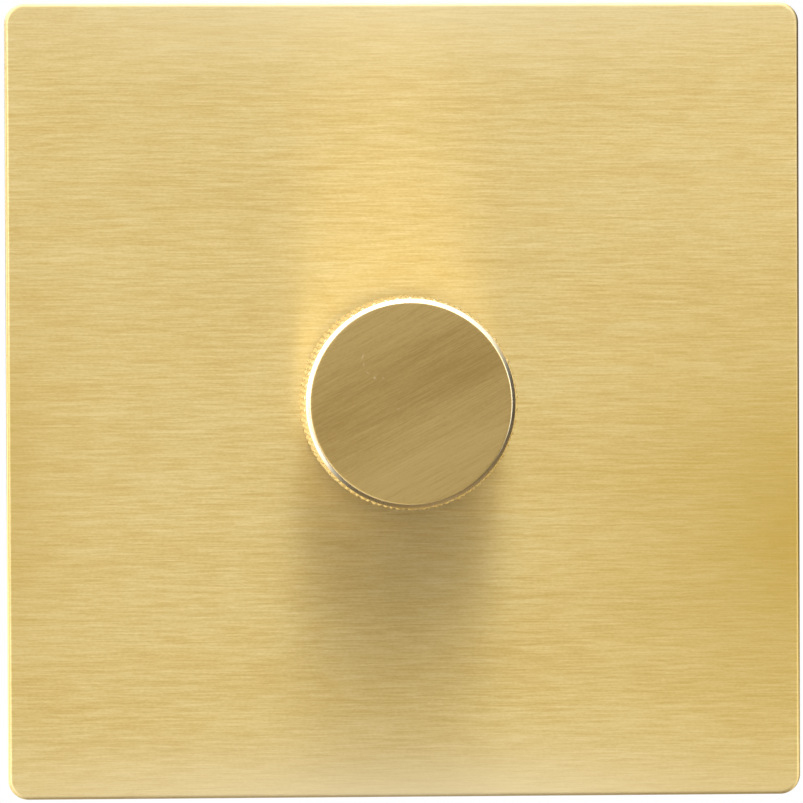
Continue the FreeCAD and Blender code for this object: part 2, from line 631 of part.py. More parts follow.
def threaded_bush():
    """Brass bush that carries the spindle and clamps the module to the yoke."""
    bore = "sizes.spindle_radius + sizes.spindle_play"
    outside = "sizes.bush_radius"
    profile = (
        (bore, BUSH_FRONT),
        (outside, BUSH_FRONT),
        (outside, SINK_BACK),
        ("sizes.bush_flange", SINK_BACK),
        ("sizes.bush_flange", BUSH_BACK),
        (bore, BUSH_BACK),
    )
    node(turned("threaded_bush", profile), "threaded_bush")


def bush_nut():
    """Hexagon nut with bevelled corners."""
    prism = DOC.addObject("Part::Prism", "nut_prism")
    prism.Polygon = 6
    prism.setExpression("Circumradius", "sizes.nut_flats / sqrt(3)")
    prism.setExpression("Height", "sizes.nut_thick")
    turn = FreeCAD.Rotation(UPWARDS, BACKWARDS)
    prism.Placement = FreeCAD.Placement(FreeCAD.Vector(0, 0, 0), turn)
    prism.setExpression("Placement.Base.y", NUT_FRONT)
    flats = "(sizes.nut_flats / 2)"
    corners = "(sizes.nut_flats / sqrt(3) + sizes.nut_chamfer)"
    deep = f"({NUT_FRONT} + ({corners} - {flats}) / 2)"
    blank = turned("nut_blank", (
        ("sizes.bush_radius", NUT_FRONT),
        (flats, NUT_FRONT),
        (corners, deep),
        (corners, WASHER_FRONT),
        ("sizes.bush_radius", WASHER_FRONT),
    ))
    nut = DOC.addObject("Part::Common", "bush_nut")
    nut.Base = prism
    nut.Tool = blank
    node(nut, "bush_nut")


def washer():
    """Flat washer under the nut."""
    bore = "sizes.bush_radius + sizes.bush_play"
    piece = ring("washer", "sizes.washer_radius", bore, WASHER_FRONT, "sizes.washer_thick")
    node(piece, "washer")


def spindle():
    """Steel spindle with a flat at each end and a groove for its clip."""
    radius = "sizes.spindle_radius"
    tip = "sizes.spindle_tip"
    groove_back = f"{CLIP_BACK} + sizes.clip_play / 2"
    groove_front = f"{CLIP_FRONT} - sizes.clip_play / 2"
    profile = (
        ("0", SPINDLE_FRONT),
        (f"{radius} - {tip}", SPINDLE_FRONT),
        (radius, f"{SPINDLE_FRONT} + {tip}"),
        (radius, groove_front),
        ("sizes.clip_groove", groove_front),
        ("sizes.clip_groove", groove_back),
        (radius, groove_back),
        (radius, f"{SPINDLE_BACK} - {tip}"),
        (f"{radius} - {tip}", SPINDLE_BACK),
        ("0", SPINDLE_BACK),
    )
    body = turned("spindle", profile)
    cut_flat(body, SPINDLE_FRONT, f"{INSERT_BACK} + sizes.flat_rest - {SPINDLE_FRONT}")
    start = f"{POT_FRONT} + sizes.pot_wall - sizes.press_travel"
    cut_flat(body, start, f"{SPINDLE_BACK} - ({start})")
    node(body, "spindle")


def retaining_clip():
    """Spring clip in the spindle's groove, behind the bush."""
    thick = "sizes.clip_thick"
    body = ring("retaining_clip", "sizes.clip_radius", "sizes.clip_groove", CLIP_FRONT, thick)
    cut_mouth(body, CLIP_FRONT, thick, "sizes.clip_mouth", "2 * sizes.clip_radius")
    node(body, "retaining_clip")


def knurled_drum():
    """Diamond knurl as a closed solid: rows of points, each row half a step round from the last."""
    count = 2 * round(value("sizes.knurl_count"))
    rows = round(value("sizes.knurl_rows"))
    run_out = value("sizes.knurl_run_out")
    start, end = value(KNURL_FRONT), value(KNOB_BACK)
    levels = [start]
    for row in range(rows):
        levels.append(start + run_out + row * (end - start - 2 * run_out) / (rows - 1))
    levels.append(end)
    root, tip = value(KNURL_ROOT), value("sizes.knob_radius")
    last = len(levels) - 1

    def is_tip(row, step):
        """True where a point of the knurl stands out; the end rows have none."""
        return 0 < row < last and (row + step) % 2 == 0

    def point(row, step):
        """Corner of the knurl in a row, at a step round the knob."""
        radius = tip if is_tip(row, step) else root
        angle = 2 * math.pi * (step % count) / count
        return FreeCAD.Vector(radius * math.cos(angle), levels[row], radius * math.sin(angle))

    faces = []
    for row in range(last):
        at_end = row in (0, last - 1)
        for step in range(count):
            here, beside = point(row, step), point(row, step + 1)
            above, across = point(row + 1, step), point(row + 1, step + 1)
            if (is_tip(row, step) or is_tip(row + 1, step + 1)) == at_end:
                triangles = ((here, beside, across), (here, across, above))
            else:
                triangles = ((here, beside, above), (beside, across, above))
            for corners in triangles:
                faces.append(Part.Face(Part.makePolygon([*corners, corners[0]])))
    for row in (0, last):
        rim = [point(row, step) for step in range(count + 1)]
        faces.append(Part.Face(Part.makePolygon(rim)))
    solid = Part.Solid(Part.Shell(faces))
    if solid.Volume < 0:
        solid.reverse()
    return solid


def knob():
    """Turned brass knob: plain face, bevel and lip, and a diamond knurl down its side."""
    drum = DOC.addObject("Part::Feature", "knob_knurl")
    drum.Shape = knurled_drum()
    bore = f"({KNOB_CAVITY} + sizes.knob_wall / 4)"
    under_knurl = f"({KNOB_CAVITY} + sizes.knob_wall / 2)"
    core_hole = rod("knob_knurl_bore", bore, ("0", KNOB_FRONT, "0"), "sizes.knob_height", BACKWARDS)
    core = turned("knob_turning", (
        ("0", KNOB_FRONT),
        (f"{KNOB_LIP} - sizes.knob_bevel", KNOB_FRONT),
        (KNOB_LIP, f"{KNOB_FRONT} + sizes.knob_bevel"),
        (KNOB_LIP, KNURL_FRONT),
        (under_knurl, KNURL_FRONT),
        (under_knurl, KNOB_BACK),
        (KNOB_CAVITY, KNOB_BACK),
        (KNOB_CAVITY, CAVITY_FRONT),
        ("0", CAVITY_FRONT),
    ))
    node(fused("knob", core, cut("knob_knurl_ring", drum, core_hole)), "knob")


def knob_insert():
    """Moulded insert in the knob: rim, web, ribs and a hub that grips the spindle's flat."""
    hub = "sizes.insert_hub"
    inside = f"({KNOB_CAVITY} - sizes.insert_wall)"
    web = f"({CAVITY_FRONT} + sizes.insert_web)"
    body = turned("knob_insert", (
        ("0", CAVITY_FRONT),
        (KNOB_CAVITY, CAVITY_FRONT),
        (KNOB_CAVITY, INSERT_BACK),
        (inside, INSERT_BACK),
        (inside, web),
        (hub, web),
        (hub, INSERT_BACK),
        ("0", INSERT_BACK),
    ))
    rib_back = f"({INSERT_BACK} - sizes.insert_rib_recess)"
    sketch = sketch_on(body, "XZ_Plane", rib_back)
    outer = f"({inside} + sizes.insert_wall / 2)"
    inner = f"({hub} - sizes.insert_wall / 2)"
    count = round(value("sizes.insert_ribs"))
    for index in range(count):
        turn = f"({index} * 360 / {count})"
        corners = []
        for reach, side in ((inner, "-"), (outer, "-"), (outer, ""), (inner, "")):
            aside = f"({side}sizes.insert_rib / 2)"
            across = f"{reach} * cos({turn}) - {aside} * sin({turn})"
            corners.append((across, f"{reach} * sin({turn}) + {aside} * cos({turn})"))
        outline(sketch, corners)
    pad(body, sketch, f"{rib_back} - {web}")
    cut_d_bore(body, web, f"{INSERT_BACK} - {web}", "sizes.insert_fit")
    node(body, "knob_insert")


def heat_sink():
    """Aluminium front plate of the module."""
    body = slab("heat_sink", YOKE_BACK, SINK_BACK, MODULE_WIDTH, "sizes.module_height")
    round_edges(body, "sizes.module_corner", runs_along_y)
    holes = sketch_on(body, "XZ_Plane", YOKE_BACK)
    circle(holes, "sizes.bush_radius + sizes.bush_play")
    for across in (-1, 1):
        for up in (-1, 1):
            circle(holes, "sizes.case_screw_radius", f"{across} * {POST_X}", f"{up} * {POST_Z}")
        middle = f"{across} * sizes.transistor_pitch / 2"
        circle(holes, "sizes.tab_screw_radius", middle, "sizes.tab_top - sizes.tab_length / 2")
    pocket(body, holes, "sizes.sink_thick")
    node(body, "heat_sink")


def rear_housing():
    """Moulded housing: posts for the case screws, vents, and a step for the terminal block."""
    body = slab("rear_housing", SINK_BACK, MODULE_BACK, MODULE_WIDTH, "sizes.module_height")
    round_edges(body, "sizes.module_corner", runs_along_y)
    inside = sketch_on(body, "XZ_Plane", SINK_BACK)
    width = f"{MODULE_WIDTH} - 2 * sizes.module_wall"
    height = "sizes.module_height - 2 * sizes.module_wall"
    rectangle(inside, width, height)
    inner_back = f"({MODULE_BACK} - sizes.module_wall)"
    pocket(body, inside, f"{inner_back} - {SINK_BACK}")
    for across in (-1, 1):
        for up in (-1, 1):
            place = (f"{across} * {POST_X}", f"{up} * {POST_Z}")
            post = sketch_on(body, "XZ_Plane", inner_back)
            circle(post, "sizes.post_radius", *place)
            pad(body, post, f"{inner_back} - {SINK_BACK}")
            hole = sketch_on(body, "XZ_Plane", SINK_BACK)
            circle(hole, "sizes.case_screw_radius", *place)
            pocket(body, hole, f"{MODULE_BACK} - {SINK_BACK}")
            recess = sketch_on(body, "XZ_Plane", f"{MODULE_BACK} - sizes.case_screw_recess")
            circle(recess, "sizes.case_screw_head + sizes.case_screw_play", *place)
            pocket(body, recess, "sizes.case_screw_recess")
    step = sketch_on(body, "XZ_Plane", BOARD_BACK)
    play = "sizes.block_play"
    step_height = f"(sizes.block_height + {play})"
    middle = f"{MODULE_FOOT} + {step_height} / 2"
    rectangle(step, f"{BLOCK_WIDTH} + 2 * {play}", step_height, "0", middle)
    pocket(body, step, f"{MODULE_BACK} - {BOARD_BACK}")
    vent = sketch_on(body, "XZ_Plane", inner_back)
    rectangle(vent, "sizes.vent_length", "sizes.vent_width", "0", "sizes.vent_start")
    first = pocket(body, vent, "sizes.module_wall")
    pattern = body.newObject("PartDesign::LinearPattern", "rear_housing_vents")
    pattern.Originals = [first]
    axis = next(item for item in body.Origin.OriginFeatures if item.Role == "Z_Axis")
    pattern.Direction = (axis, [""])
    pattern.setExpression("Length", "sizes.vent_pitch * (sizes.vent_count - 1)")
    pattern.setExpression("Occurrences", "sizes.vent_count")
    body.Tip = pattern
    DOC.recompute()
    node(body, "rear_housing")


def case_screws():
    """Four long screws from the back of the housing into the heat sink."""
    seat = f"({MODULE_BACK} - sizes.case_screw_recess)"
    pieces = []
    for across in (-1, 1):
        for up in (-1, 1):
            name = f"case_screw_{len(pieces) + 1}"
            piece = screw(name, "case_screw", seat, f"({seat} - {YOKE_BACK})", True)
            pieces.append(place_at(piece, f"{across} * {POST_X}", f"{up} * {POST_Z}"))
    group("case_screws", pieces)


def control_case():
    """Metal cup of the rotary control, open to the back."""
    inside = "(sizes.pot_radius - sizes.pot_wall)"
    hole = "(sizes.spindle_radius + sizes.pot_hole_play)"
    floor = f"({POT_FRONT} + sizes.pot_wall)"
    node(turned("control_case", (
        (hole, POT_FRONT),
        ("sizes.pot_radius", POT_FRONT),
        ("sizes.pot_radius", POT_BACK),
        (inside, POT_BACK),
        (inside, floor),
        (hole, floor),
    )), "control_case")


def control_back():
    """Moulded back of the rotary control, with a hole for the plunger's stem."""
    hole = "sizes.plunger_stem + sizes.stem_play"
    body = ring("control_back", "sizes.pot_radius", hole, POT_BACK, "sizes.rear_cover_thick")
    node(body, "control_back")


def wiper_rotor():
    """Moulded rotor that the spindle's flat turns."""
    body = turned("wiper_rotor", (
        ("0", ROTOR_FRONT),
        (ROTOR_RADIUS, ROTOR_FRONT),
        (ROTOR_RADIUS, ROTOR_BACK),
        ("0", ROTOR_BACK),
    ))
    cut_d_bore(body, ROTOR_FRONT, "sizes.rotor_thick", "sizes.rotor_fit")
    node(body, "wiper_rotor")


def wiper_contact():
    """Split bronze ring on the back of the rotor."""
    thick = "sizes.contact_thick"
    body = ring("wiper_contact", CONTACT_OUTER, CONTACT_INNER, ROTOR_BACK, thick)
    cut_mouth(body, ROTOR_BACK, thick, "sizes.contact_mouth", f"2 * {CONTACT_OUTER}")
    node(body, "wiper_contact")


def resistive_track():
    """Split carbon ring printed on the wafer."""
    thick = "sizes.track_thick"
    outer = f"({CONTACT_OUTER} - sizes.track_inset)"
    inner = f"({CONTACT_INNER} + sizes.track_inset)"
    body = ring("resistive_track", outer, inner, TRACK_FRONT, thick)
    cut_mouth(body, TRACK_FRONT, thick, "sizes.track_mouth", f"2 * {outer}")
    node(body, "resistive_track")


def track_wafer():
    """Round wafer that carries the resistive track inside the control's case."""
    outer = "sizes.pot_radius - sizes.pot_wall"
    inner = "sizes.spindle_radius + sizes.pot_hole_play"
    node(ring("track_wafer", outer, inner, WAFER_FRONT, "sizes.wafer_thick"), "track_wafer")


def switch_plunger():
    """Moulded plunger that the spindle's end pushes."""
    tail = f"({BOARD_FRONT} - sizes.plunger_tail)"
    node(turned("switch_plunger", (
        ("0", PLUNGER_FRONT),
        ("sizes.plunger_radius", PLUNGER_FRONT),
        ("sizes.plunger_radius", PLUNGER_HEAD_BACK),
        ("sizes.plunger_stem", PLUNGER_HEAD_BACK),
        ("sizes.plunger_stem", tail),
        ("0", tail),
    )), "switch_plunger")


def closed_solid(rings, closed_ends):
    """Solid whose skin joins rings of corners in order, with flat ends that close it."""
    faces = []
    for ring_here, ring_next in zip(rings, rings[1:]):
        count = len(ring_here)
        for step in range(count):
            here, beside = ring_here[step], ring_here[(step + 1) % count]
            above, across = ring_next[step], ring_next[(step + 1) % count]
            faces.append(Part.Face(Part.makePolygon([here, beside, above, here])))
            faces.append(Part.Face(Part.makePolygon([beside, across, above, beside])))
    for rim in closed_ends:
        faces.append(Part.Face(Part.makePolygon([*rim, rim[0]])))
    solid = Part.Solid(Part.Shell(faces))
    if solid.Volume < 0:
        solid.reverse()
    return solid


def return_spring():
    """Coil spring between the plunger's head and the control's back, its wire with flat sides."""
    wire, mean = value("sizes.spring_wire"), value("sizes.spring_radius")
    start = value(f"{PLUNGER_HEAD_BACK} + sizes.spring_wire")
    rise = value(f"{POT_BACK} - sizes.spring_wire") - start
    turns = value("sizes.spring_turns")
    sides = round(value("sizes.spring_sides"))
    per_turn = round(value("sizes.spring_steps"))
    rings = []
    for step in range(round(turns * per_turn) + 1):
        turn = step / per_turn
        angle = 2 * math.pi * turn
        corners = []
        for side in range(sides):
            around = 2 * math.pi * side / sides
            reach = mean + wire * math.cos(around)
            level = start + rise * turn / turns + wire * math.sin(around)
            corners.append(FreeCAD.Vector(reach * math.cos(angle), level, reach * math.sin(angle)))
        rings.append(corners)
    coil = DOC.addObject("Part::Feature", "return_spring")
    coil.Shape = closed_solid(rings, (rings[0], rings[-1]))
    node(coil, "return_spring")


def switch_contacts():
    """Two bent bronze leaves on the control's back, one on each side of the plunger."""
    half = "sizes.leaf_width / 2"
    height = "(sizes.leaf_reach + sizes.leaf_thick)"
    leaves = []
    for side, across in (("left", -1), ("right", 1)):
        inner = f"{across} * {LEAF_OFFSET} - sizes.leaf_thick / 2"
        upright = box(
            f"switch_leaf_{side}",
            (inner, f"{POT_BACK} - {height}", f"-{half}"),
            ("sizes.leaf_thick", height, "sizes.leaf_width"),
        )
        reach = f"{inner} - sizes.leaf_reach" if across > 0 else f"{inner} + sizes.leaf_thick"
        foot = box(
            f"switch_foot_{side}",
            (reach, f"{POT_BACK} - sizes.leaf_thick", f"-{half}"),
            ("sizes.leaf_reach", "sizes.leaf_thick", "sizes.leaf_width"),
        )
        leaves.append(fused(f"switch_contact_{side}", upright, foot))
    group("switch_contacts", leaves)


def circuit_board():
    """Board that carries the control and the rest of the circuit, notched round the posts."""
    notch = "(sizes.post_radius + sizes.board_post_play)"
    inner_x, inner_z = f"({POST_X} - {notch})", f"({POST_Z} - {notch})"
    margin = "(sizes.module_wall + sizes.board_play)"
    side, top = f"({MODULE_WIDTH} / 2 - {margin})", f"(sizes.module_height / 2 - {margin})"
    corners = []
    for across, up in ((1, -1), (1, 1), (-1, 1), (-1, -1)):
        turn = ((side, inner_z), (inner_x, inner_z), (inner_x, top))
        if across * up < 0:
            turn = tuple(reversed(turn))
        corners.extend((f"{across} * {x}", f"{up} * {z}") for x, z in turn)
    body = new_body("circuit_board")
    sketch = sketch_on(body, "XZ_Plane", BOARD_BACK)
    outline(sketch, corners)
    pad(body, sketch, "sizes.board_thick")
    hole = sketch_on(body, "XZ_Plane", BOARD_FRONT)
    circle(hole, "sizes.plunger_stem + 2 * sizes.stem_play")
    pocket(body, hole, "sizes.board_thick")
    node(body, "circuit_board")


def choke():
    """Ferrite bobbin and its winding, standing on the board."""
    top = f"({BOARD_FRONT} - sizes.choke_height)"
    top_flange = f"({top} + sizes.choke_flange_thick)"
    low_flange = f"({BOARD_FRONT} - sizes.choke_flange_thick)"
    core = turned("choke_core", (
        ("0", top),
        ("sizes.choke_flange", top),
        ("sizes.choke_flange", top_flange),
        ("sizes.choke_core", top_flange),
        ("sizes.choke_core", low_flange),
        ("sizes.choke_flange", low_flange),
        ("sizes.choke_flange", BOARD_FRONT),
        ("0", BOARD_FRONT),
    ))
    node(place_at(core, "sizes.choke_x", "sizes.choke_z"), "choke_core")
    turns = round(value("sizes.choke_turns"))
    step = f"(({low_flange} - {top_flange}) / {turns})"
    outside = "(sizes.choke_flange - sizes.choke_wire)"
    profile = [("sizes.choke_core", top_flange)]
    for turn in range(turns):
        edge = f"({top_flange} + {turn} * {step})"
        profile.append((f"{outside} - sizes.choke_wire", edge))
        profile.append((outside, f"{edge} + {step} / 3"))
        profile.append((outside, f"{edge} + 2 * {step} / 3"))
    profile.append((f"{outside} - sizes.choke_wire", low_flange))
    profile.append(("sizes.choke_core", low_flange))
    winding = turned("choke_winding", profile)
    node(place_at(winding, "sizes.choke_x", "sizes.choke_z"), "choke_winding")


def film_capacitor():
    """Boxed film capacitor on the board."""
    body = new_body("film_capacitor")
    sketch = sketch_on(body, "XZ_Plane", BOARD_FRONT)
    rectangle(sketch, "sizes.film_width", "sizes.film_length", "sizes.film_x", "sizes.film_z")
    pad(body, sketch, "sizes.film_height")
    round_edges(body, "sizes.film_edge", runs_along_y)
    node(body, "film_capacitor")


def electrolytic_capacitor():
    """Round can with a rolled groove near its foot."""
    radius, groove = "sizes.can_radius", "sizes.can_groove"
    top = f"({BOARD_FRONT} - sizes.can_height)"
    node(place_at(turned("electrolytic_capacitor", (
        ("0", top),
        (f"{radius} - {groove}", top),
        (radius, f"{top} + {groove}"),
        (radius, f"{BOARD_FRONT} - 5 * {groove}"),
        (f"{radius} - {groove}", f"{BOARD_FRONT} - 4 * {groove}"),
        (radius, f"{BOARD_FRONT} - 3 * {groove}"),
        (radius, BOARD_FRONT),
        ("0", BOARD_FRONT),
    )), "0", f"-(sizes.pot_radius + sizes.can_gap + {radius})"), "electrolytic_capacitor")


def power_transistors():
    """Two power transistors bolted to the heat sink, their leads bent back to the board."""
    width = "sizes.transistor_width"
    case_top = "(sizes.tab_top - sizes.tab_length)"
    case_foot = f"({case_top} - sizes.case_length)"
    lead_y = f"({SINK_BACK} + sizes.case_thick / 2)"
    lead_z = f"({case_foot} - sizes.lead_drop)"
    lead = "sizes.lead_width"
    screws = []
    for side, sign in (("left", -1), ("right", 1)):
        middle = f"({sign} * sizes.transistor_pitch / 2)"
        left = f"{middle} - {width} / 2"
        tab_size = (width, "sizes.tab_thick", "sizes.tab_length + sizes.case_length")
        case_size = (width, "sizes.case_thick", "sizes.case_length")
        pieces = [
            box(f"tab_{side}", (left, SINK_BACK, case_foot), tab_size),
            box(f"case_{side}", (left, SINK_BACK, case_foot), case_size),
        ]
        for index in (-1, 0, 1):
            lead_x = f"{middle} + {index} * sizes.lead_pitch - {lead} / 2"
            name = f"lead_{side}_{index + 2}"
            drop = f"sizes.lead_drop + {lead}"
            pieces.append(box(f"{name}_drop", (lead_x, lead_y, lead_z), (lead, lead, drop)))
            reach = f"{BOARD_FRONT} - {lead_y}"
            pieces.append(box(f"{name}_reach", (lead_x, lead_y, lead_z), (lead, reach, lead)))
        hole_z = f"({case_top} + sizes.tab_length / 2)"
        hole = rod(
            f"tab_hole_{side}",
            "sizes.tab_screw_radius",
            (middle, SINK_BACK, hole_z),
            "sizes.case_thick",
            BACKWARDS,
        )
        label = f"power_transistor_{side}"
        node(cut(label, fused(f"{label}_blank", *pieces), hole), label)
        seat = f"({SINK_BACK} + sizes.tab_thick)"
        piece = screw(f"tab_screw_{side}", "tab_screw", seat, f"({seat} - {YOKE_BACK})", True)
        screws.append(place_at(piece, middle, hole_z))
    group("tab_screws", screws)


def fuse():
    """Tube fuse with a cap on each end, lying on the board."""
    middle = f"({BOARD_FRONT} - sizes.fuse_cap)"
    left = "(-sizes.fuse_length / 2)"
    right = "(sizes.fuse_length / 2 - sizes.fuse_cap_length)"
    level = "(sizes.pot_radius + sizes.fuse_gap + sizes.fuse_cap)"
    length, cap_length = "sizes.fuse_length", "sizes.fuse_cap_length"
    tube = rod("fuse_tube", "sizes.fuse_radius", (left, middle, level), length, SIDEWAYS)
    caps = [
        rod(f"fuse_cap_{side}", "sizes.fuse_cap", (start, middle, level), cap_length, SIDEWAYS)
        for side, start in (("left", left), ("right", right))
    ]
    node(fused("fuse", tube, *caps), "fuse")


def terminal(label, middle, foot, front):
    """Brass wire terminal: a block with a wire hole from below and a screw hole from the back."""
    width, depth = "sizes.terminal_width", "sizes.terminal_depth"
    length = "sizes.terminal_length"
    wire_y = f"({front} + sizes.terminal_wall + sizes.wire_radius)"
    screw_z = f"({foot} + {length} / 2)"
    blank = box(f"{label}_blank", (f"{middle} - {width} / 2", front, foot), (width, depth, length))
    wire = rod(f"{label}_wire_hole", "sizes.wire_radius", (middle, wire_y, foot), length, UPWARDS)
    start, back = (middle, wire_y, screw_z), f"{front} + {depth} - {wire_y}"
    hole = rod(f"{label}_screw_hole", "sizes.terminal_screw_radius", start, back, BACKWARDS)
    node(cut(label, blank, wire, hole), label)
    seat = f"({front} + {depth})"
    tip = f"({wire_y} + sizes.wire_radius + sizes.terminal_screw_tip)"
    piece = screw(f"{label}_screw", "terminal_screw", seat, f"({seat} - {tip})", True)
    return place_at(piece, middle, screw_z)


def terminals():
    """Three wire terminals in their block, and the earth terminal on the yoke."""
    depth = f"{MODULE_BACK} - {BOARD_BACK}"
    corner, size = (f"-{BLOCK_WIDTH} / 2", BOARD_BACK, MODULE_FOOT), (BLOCK_WIDTH, depth, "sizes.block_height")
    blank = box("block_blank", corner, size)
    pockets = []
    screws = []
    for index, name in ((-1, "line"), (0, "load"), (1, "two_way")):
        middle = f"({index} * {TERMINAL_PITCH})"
        left = f"{middle} - sizes.terminal_width / 2"
        size = ("sizes.terminal_width", f"{MODULE_BACK} - {TERMINAL_FRONT}", "sizes.terminal_length")
        pockets.append(box(f"block_pocket_{name}", (left, TERMINAL_FRONT, MODULE_FOOT), size))
        screws.append(terminal(f"terminal_{name}", middle, MODULE_FOOT, TERMINAL_FRONT))
    node(cut("terminal_block", blank, *pockets), "terminal_block")
    earth_x = f"({YOKE_WIDTH} / 2 - sizes.earth_inset - sizes.terminal_width / 2)"
    screws.append(terminal("terminal_earth", earth_x, "sizes.earth_z", YOKE_BACK))
    group("terminal_screws", screws)


def check_and_export():
    """Stops on any failed feature or bad shape, then writes each piece to its own file."""
    DOC.recompute()
    for item in DOC.Objects:
        if "Invalid" in item.State or "Error" in item.State:
            raise ValueError(f"{item.Name} failed: {item.State}")
    os.makedirs("parts", exist_ok=True)
    for piece in NODES:
        if piece.Shape.isNull() or not piece.Shape.isValid():
            raise ValueError(f"{piece.Label} has no valid shape")
        piece.Shape.exportStep(f"parts/{piece.Label}.step")
        print(piece.Label, len(piece.Shape.Solids), round(piece.Shape.Volume, 2))


for build in (
    faceplate, clip_frame, mounting_yoke, fixing_screws, threaded_bush, bush_nut, washer, spindle,
    retaining_clip, knob, knob_insert, heat_sink, rear_housing, case_screws, control_case,
    control_back, wiper_rotor, wiper_contact, resistive_track, track_wafer, switch_plunger,
    return_spring, switch_contacts, circuit_board, choke, film_capacitor, electrolytic_capacitor,
    power_transistors, fuse, terminals,
):
    build()
check_and_export()
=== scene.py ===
"""Rotary dimmer switch: a brushed brass wall plate, its diamond-knurled knob and the module behind it."""
import abc
import enum
import logging
import math
from dataclasses import dataclass, field
from typing import Iterable, Mapping, Sequence

import bpy
import numpy as np
from mathutils import Matrix, Vector


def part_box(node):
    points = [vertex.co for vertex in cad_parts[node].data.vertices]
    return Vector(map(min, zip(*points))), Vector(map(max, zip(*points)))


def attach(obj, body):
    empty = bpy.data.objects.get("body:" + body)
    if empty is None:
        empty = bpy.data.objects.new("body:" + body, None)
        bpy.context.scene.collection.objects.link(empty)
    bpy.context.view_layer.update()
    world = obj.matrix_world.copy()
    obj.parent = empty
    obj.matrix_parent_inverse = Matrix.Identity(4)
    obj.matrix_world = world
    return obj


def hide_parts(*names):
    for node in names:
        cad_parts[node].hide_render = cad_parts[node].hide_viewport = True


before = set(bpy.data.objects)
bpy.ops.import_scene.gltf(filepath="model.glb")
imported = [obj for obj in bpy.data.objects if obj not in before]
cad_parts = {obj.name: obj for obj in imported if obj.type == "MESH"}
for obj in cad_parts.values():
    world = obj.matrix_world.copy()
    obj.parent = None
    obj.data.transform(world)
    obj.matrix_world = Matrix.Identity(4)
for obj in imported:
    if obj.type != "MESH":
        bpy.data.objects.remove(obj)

LOG = logging.getLogger("dimmer")
MM = 0.001
TURN = 2.0 * math.pi
Colour = tuple[float, float, float, float]


def linear(hex_colour: str) -> Colour:
    """Turns an sRGB hex colour into linear light.

    Args:
        hex_colour: six hex digits, such as "E1C882".

    Returns:
        Red, green, blue and full opacity, as shader sockets take them.
    """
    channels = (int(hex_colour[at:at + 2], 16) / 255.0 for at in (0, 2, 4))
    red, green, blue = (c / 12.92 if c <= 0.04045 else ((c + 0.055) / 1.055) ** 2.4 for c in channels)
    return red, green, blue, 1.0


def add(tree: bpy.types.NodeTree, kind: str, settings: Mapping[str, object] | None = None,
        inputs: Mapping[str | int, object] | None = None) -> bpy.types.Node:
    """Adds one node with its settings and what feeds it.

    Args:
        tree: the node tree that gets the node.
        kind: Blender's name of the node.
        settings: values for the node's own properties.
        inputs: for each input, a value or the output socket that is linked to it.

    Returns:
        The new node.
    """
    made = tree.nodes.new(kind)
    for name, setting in (settings or {}).items():
        setattr(made, name, setting)
    for name, source in (inputs or {}).items():
        if isinstance(source, bpy.types.NodeSocket):
            tree.links.new(source, made.inputs[name])
        else:
            made.inputs[name].default_value = source
    return made


def ramp(node: bpy.types.Node, stops: Sequence[tuple[float, Colour]]) -> bpy.types.Node:
    """Sets the stops of a colour ramp node.

    Args:
        node: the colour ramp.
        stops: pairs of a place from 0 to 1 and a colour, in order.

    Returns:
        The same node.
    """
    elements = node.color_ramp.elements
    while len(elements) < len(stops):
        elements.new(1.0)
    for element, (place, colour) in zip(elements, stops):
        element.position = place
        element.color = colour
    return node


def blank_material(name: str) -> bpy.types.Material:
    """Makes a material with no nodes yet.

    Args:
        name: its name.

    Returns:
        The material.
    """
    material = bpy.data.materials.new(name)
    material.use_nodes = True
    material.node_tree.nodes.clear()
    return material


@dataclass(frozen=True)
class Finish(abc.ABC):
    """What every finish shares: its name, its pattern's coordinates and its shader."""

    name: str

    @abc.abstractmethod
    def build(self) -> bpy.types.Material:
        """Makes the material."""

    def add_shader(self, tree: bpy.types.NodeTree, inputs: Mapping[str, object]) -> None:
        """Adds a Principled shader, linked to the material's output.

        Args:
            tree: the node tree.
            inputs: for each input of the shader, a value or the output socket that is linked to it.
        """
        shader = add(tree, "ShaderNodeBsdfPrincipled", None, inputs)
        add(tree, "ShaderNodeOutputMaterial", None, {"Surface": shader.outputs["BSDF"]})

    def place(self, tree: bpy.types.NodeTree, size_mm: Sequence[float],
              turn: float = 0.0) -> bpy.types.NodeSocket:
        """Object coordinates scaled so that one unit is the given size on each axis.

        Args:
            tree: the node tree.
            size_mm: size of one unit of the pattern along X, Y and Z.
            turn: turn of the pattern about Y, in radians.

        Returns:
            The socket with the scaled coordinates.
        """
        source = add(tree, "ShaderNodeTexCoord").outputs["Object"]
        turned = add(tree, "ShaderNodeVectorRotate", {"rotation_type": "Y_AXIS"},
                     {"Vector": source, "Angle": turn})
        scale = tuple(1.0 / (size * MM) for size in size_mm)
        scaled = add(tree, "ShaderNodeVectorMath", {"operation": "MULTIPLY"},
                     {0: turned.outputs["Vector"], 1: scale})
        return scaled.outputs["Vector"]


class Lay(enum.Enum):
    """Which way a metal's fine marks run, with the length that they are drawn, in millimetres."""

    ROUND = 12.0
    ACROSS = 6.0


